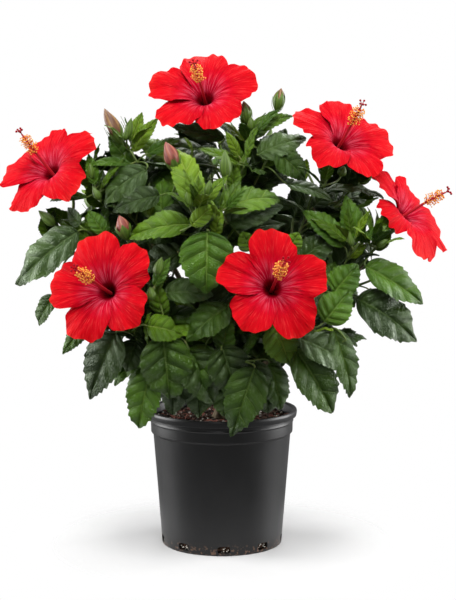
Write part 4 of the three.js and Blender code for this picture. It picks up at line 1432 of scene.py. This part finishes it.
def make_columns(column, filament, anther, stigma):
    """The column of each bloom: a curved tube, a brush of stamens, and five styles with round stigmas."""
    pile = Pile([column, filament, anther, stigma])
    stamens, styles = BLOOM["stamens"], BLOOM["styles"]
    for name, rng, axes in each_bloom("columns"):
        right, up = (math.radians(lean) for lean in BLOOMS[name][2:])
        end = np.array([math.sin(right), math.sin(up), math.cos(right) * math.cos(up)]) * BLOOM["column"]
        path = THROATS[name] + bezier((0, 0, -9), end * (0.25, 0.25, 0.5), end, 26) @ axes
        pile.tube(path, np.linspace(2.0, 0.95, len(path)), 10, column)
        for k in range(stamens):
            share = 0.58 + 0.34 * (k + rng.random()) / stamens
            at = share * (len(path) - 1)
            step = min(len(path) - 2, int(at))
            point = path[step] + (path[step + 1] - path[step]) * (at - step)
            way = unit(path[step + 1] - path[step])
            side, _, facing = frame_on(way, UP)
            spoke = spoke_at(GOLDEN_TURN * k, side, facing)
            reach = rng.uniform(4.6, 7.8) * (1.0 if 0.62 < share < 0.87 else 0.75)
            tip = point + unit(spoke + way * rng.uniform(0.1, 0.7)) * reach
            bent = (point + tip) / 2 + way * rng.uniform(-0.4, 0.6)
            pile.tube(bezier(point, bent, tip, 3), (0.26, 0.22, 0.18, 0.15), 4, filament, capped=False)
            ball(pile, tip, rng.uniform(0.62, 0.85), anther, np.cross(way, spoke), 1.35, 6, 3)
        way = unit(path[-1] - path[-2])
        side, _, facing = frame_on(way, UP)
        for k in range(styles):
            spoke = spoke_at(2 * math.pi * k / styles + rng.uniform(-0.2, 0.2), side, facing)
            tip = path[-1] + way * rng.uniform(4.0, 6.0) + spoke * rng.uniform(3.2, 4.6)
            pile.tube(bezier(path[-1], path[-1] + way * 3.2, tip, 5), np.linspace(0.55, 0.38, 6), 6, stigma)
            ball(pile, tip, 1.25, stigma, spoke, 1.0, 8, 5)
    pile.finish("stamen_columns", "petal")


def bract(pile, foot, way, out, length, width, material):
    """A narrow pointed bract that curves away from the stalk and then up along the flower or bud."""
    way, out = unit(way), unit(out)
    path = bezier(foot, foot + out * length * 0.42 + way * length * 0.18,
                  foot + way * length * 0.92 + out * length * 0.36, 6)
    share = np.linspace(0, 1, len(path))[:, None]
    half = width / 2 * (share + 0.25) ** 0.4 * (1.02 - share) ** 0.7
    across = np.linspace(-1, 1, 3)[None, :, None]
    side = unit(np.cross(way, out))
    grid = path[:, None, :] + side * across * half[..., None] + out * 0.22 * width * (1 - np.abs(across))
    pile.sheet(grid[:, ::-1], grid_map(3, len(path))[:, ::-1], material)


def ring_of_bracts(pile, foot, way, count, gap, lengths, width, material, rng):
    side, _, facing = frame_on(way, UP)
    for k in range(count):
        out = spoke_at(2 * math.pi * (k + rng.uniform(-0.2, 0.2)) / count, side, facing)
        bract(pile, foot + out * gap, way, out, rng.uniform(*lengths), width, material)


def calyx(pile, foot, top, way, rows, notch, radius_at, sunk, material):
    """Fused sepals: a ribbed cup that ends in five pointed lobes. radius_at(share, height, ribs) is how wide
    it is, and its foot is sunk a little."""
    lobes = 5
    angle = angles(lobes * 6)
    side, _, facing = frame_on(way, (0.2, 0.6, 0.7))
    lobe = np.abs((angle * lobes / (2 * math.pi)) % 1 - 0.5) * 2
    ribs = np.cos(lobes * angle)
    rings = []
    for share in np.linspace(0, 1, rows):
        height = np.linalg.norm(top - foot) * share * (1 - notch * (1 - lobe) * share ** 2)
        reach = radius_at(share, height, ribs)
        rings.append(foot + way * height[:, None] + spokes(angle, facing, -side) * reach[:, None])
    pile.skin(rings, material, foot - way * sunk)


def make_flower_feet(crown, green):
    """Calyx, bracts and stalk of each bloom, with the stalk joined to the nearest wood."""
    pile = Pile([green])

    def open_cup(share, height, ribs):
        swell = math.sin(math.pi * min(1.0, 0.12 + 0.62 * share)) ** 0.8
        return BLOOM["calyx_radius"] * swell * (1 + 0.05 * ribs)

    for name, rng, (_, _, forward) in each_bloom("calyces"):
        foot, top = (THROATS[name] + forward * BLOOM[key] for key in ("calyx_foot", "calyx_top"))
        calyx(pile, foot, top, forward, 14, 0.28, open_cup, 0.0, green)
        ring_of_bracts(pile, foot, forward, 7, 2.0, (12, 15), 2.2, green, rng)
        neck = foot - forward * BLOOM["stalk"] * 0.6
        start, way, _ = crown.skeleton.nearest(neck, forward)
        crown.stalk(start, unit(way) + unit(neck - start), foot, forward, BLOOM["stalk_radius"], 8, 14)
    pile.finish("flower_calyces", "leaf")


def bud_swell(share, opening):
    """Half the width along a bud, as a share of its width; an opening one is fuller near its tip."""
    return np.sin(math.pi * np.clip(share, 0.0, 1.0) ** (1.02 if opening else 0.72)) ** 0.85 * 0.5 + 0.02


def make_bud(pile, crown, rng, materials, name, foot, tip, width, covered=1, colour="green"):
    """A closed bud in a ribbed calyx with narrow bracts; one that has begun to open shows furled petals."""
    green = materials["green"]
    foot, tip = MASS_MIDDLE[name] + foot, MASS_MIDDLE[name] + tip
    way, length, opening = unit(tip - foot), np.linalg.norm(tip - foot), covered < 1
    twist = rng.uniform(3.0, 4.5)

    def furled(angle, along):
        return 1 + 0.10 * np.cos(3 * angle + twist * along * 2)

    def keeled(angle, along):
        return 1 + 0.09 * np.cos(5 * angle)

    def sleeve(share, height, ribs):
        return (bud_swell(height / length, True) + 0.01) * width * (1.05 + 0.04 * ribs) + 0.15

    share = np.linspace(0, 1, 20)
    radii = np.maximum(bud_swell(share, opening) * width * 0.94, 0.4)
    path = foot + (tip - foot) * share[:, None]
    pile.tube(path, radii, 20, materials[colour], section=furled if opening else keeled)
    if opening:
        top = foot + (tip - foot) * min(0.92, covered + 0.12)
        calyx(pile, foot, top, way, 12, 0.42, sleeve, 0.3, green)
    ring_of_bracts(pile, foot, way, 6, 0.8, (length * 0.5, length * 0.75), 1.9, green, rng)
    start, start_way, _ = crown.skeleton.nearest(foot - way * 8, way)
    leaving = unit(start_way) + unit(foot - start)
    crown.stalk(start, leaving, foot, way, PETIOLE["bud_radius"], steps=9)


def make_buds(crown, materials):
    pile = Pile(list(materials.values()))
    for number, row in enumerate(BUDS):
        make_bud(pile, crown, random.Random(SEEDS["buds"] + number), materials, *row)
    pile.finish("flower_buds", "leaf")


# ---- the stage

WHITE = (1, 1, 1, 1)
FLOOR_GREY = (0.66, 0.66, 0.66, 1)

# Each light: place, the place that it faces, width and height, all in metres, and watts
LIGHTS = {
    "key_softbox": ((-0.12, -1.25, 2.0), (0, 0, 0.3), (0.8, 0.8), 36),
    "top_softbox": ((0.1, 0.1, 2.1), (0, 0, 0.3), (1.0, 1.0), 14),
    "front_panel": ((0.2, -2.4, 1.9), (0, 0, 0.3), (1.4, 0.9), 21),
    "left_panel": ((-1.8, 0.35, 0.5), (0, 0, 0.2), (1.3, 1.5), 48),
    "right_panel": ((1.8, 0.35, 0.5), (0, 0, 0.2), (1.3, 1.5), 48),
    "back_softbox": ((0.2, 1.5, 1.9), (0, 0, 0.3), (0.9, 0.8), 20),
}


def make_floor():
    """A wide pale floor that clears, 0.10 to 0.25 m from the pot's axis, into the white of the backdrop."""
    half = 6.0
    f = Finish("floor_white", Roughness=0.7, Specular_IOR_Level=0.1, Base_Color=FLOOR_GREY)
    away = f.node("ShaderNodeVectorMath", [(0, f.place())], operation="LENGTH").outputs["Value"]
    clear = f.node("ShaderNodeBsdfTransparent").outputs[0]
    links = [(0, f.step(away, 0.10, 0.25)), (1, f.shader.outputs[0]), (2, clear)]
    blend = f.node("ShaderNodeMixShader", links).outputs[0]
    output = next(n for n in f.tree.nodes if n.type == "OUTPUT_MATERIAL")
    f.tree.links.new(blend, output.inputs["Surface"])
    mesh = bpy.data.meshes.new("floor")
    corners = [(-half, -half, 0), (half, -half, 0), (half, half, 0), (-half, half, 0)]
    mesh.from_pydata(corners, [], [(0, 1, 2, 3)])
    mesh.materials.append(f.material)
    floor = stand("floor", mesh)


def make_light(name, place, target, size, power):
    data = bpy.data.lights.new(name, "AREA")
    data.shape = "RECTANGLE"
    data.size, data.size_y = size
    data.energy = power
    light = stand(name, data)
    light.location = place
    light.rotation_euler = (Vector(target) - Vector(place)).to_track_quat("-Z", "Y").to_euler()


def make_lights():
    for name, (place, target, size, power) in LIGHTS.items():
        make_light(name, place, target, size, power)


def make_world():
    """White where the camera looks past the plant, and a dimmer, even sky for everything that it lights."""
    world = bpy.data.worlds.new("studio")
    world.use_nodes = True
    tree = world.node_tree
    tree.nodes.clear()
    seen = add_node(tree, "ShaderNodeBackground", [("Color", WHITE)])
    lit = add_node(tree, "ShaderNodeBackground", [("Color", WHITE), ("Strength", 0.30)])
    rays = add_node(tree, "ShaderNodeLightPath").outputs["Is Camera Ray"]
    mixer = add_node(tree, "ShaderNodeMixShader", [(0, rays), (1, lit.outputs[0]), (2, seen.outputs[0])])
    add_node(tree, "ShaderNodeOutputWorld", [("Surface", mixer.outputs[0])])
    bpy.context.scene.world = world


def make_camera():
    data = bpy.data.cameras.new("camera")
    data.lens = CAMERA["lens"]
    data.sensor_width = CAMERA["sensor_width"]
    camera = stand("camera", data)
    camera.location = EYE * MM
    camera.rotation_euler = (math.radians(CAMERA["tilt"]), 0, 0)
    bpy.context.scene.camera = camera


# ---- the whole

def make_ground():
    """The pot and what it holds: soil, bark chips and grit."""
    make_pot(pot_finish())
    make_soil(soil_finish())
    chips = {"red": ((108, 56, 44), (138, 80, 64)), "brown": ((66, 44, 34), (96, 66, 50)),
             "dark": ((40, 28, 22), (64, 46, 36))}
    make_chips([speckled_finish(f"chip_{name}", *pair, 300.0, 0.85, 0.5) for name, pair in chips.items()])
    make_grit(speckled_finish("perlite", (196, 190, 178), (226, 222, 212), 500.0, 0.9, 0.4))


def make_flowers(crown):
    """The blooms and buds, with the green parts that carry them."""
    green = ribbed_finish("sepal_green", (66, 92, 26), (104, 130, 48), 10)
    make_petals(petal_finish())
    make_columns(
        ribbed_finish("column_red", (164, 12, 32), (196, 44, 52), 6),
        ribbed_finish("filament_orange", (214, 70, 34), (232, 120, 60), 3),
        speckled_finish("anther_gold", (226, 128, 24), (240, 180, 70), 900.0, 0.7, 0.2),
        speckled_finish("stigma_crimson", (128, 6, 20), (164, 16, 32), 900.0, 0.7, 0.3, gloss=0.1),
    )
    make_flower_feet(crown, green)
    make_buds(crown, {
        "green": green,
        "plum": ribbed_finish("bud_plum", (86, 48, 44), (168, 132, 80), 5),
        "rose": ribbed_finish("bud_rose", (112, 42, 42), (176, 112, 88), 5),
    })


def main():
    make_camera()
    make_world()
    make_lights()
    make_floor()
    bpy.context.scene.view_settings.view_transform = "Standard"
    make_ground()
    make_bark(bark_finish())
    crown = grow_crown({tint: leaf_finish(tint) for tint in TINTS}, twig_finish())
    make_flowers(crown)
    for name, pile in crown.leaves.items():
        pile.finish(f"foliage_{name}", "leaf", f"leaves_{name}")
    crown.twigs.finish("twigs_and_petioles", "bark")


main()
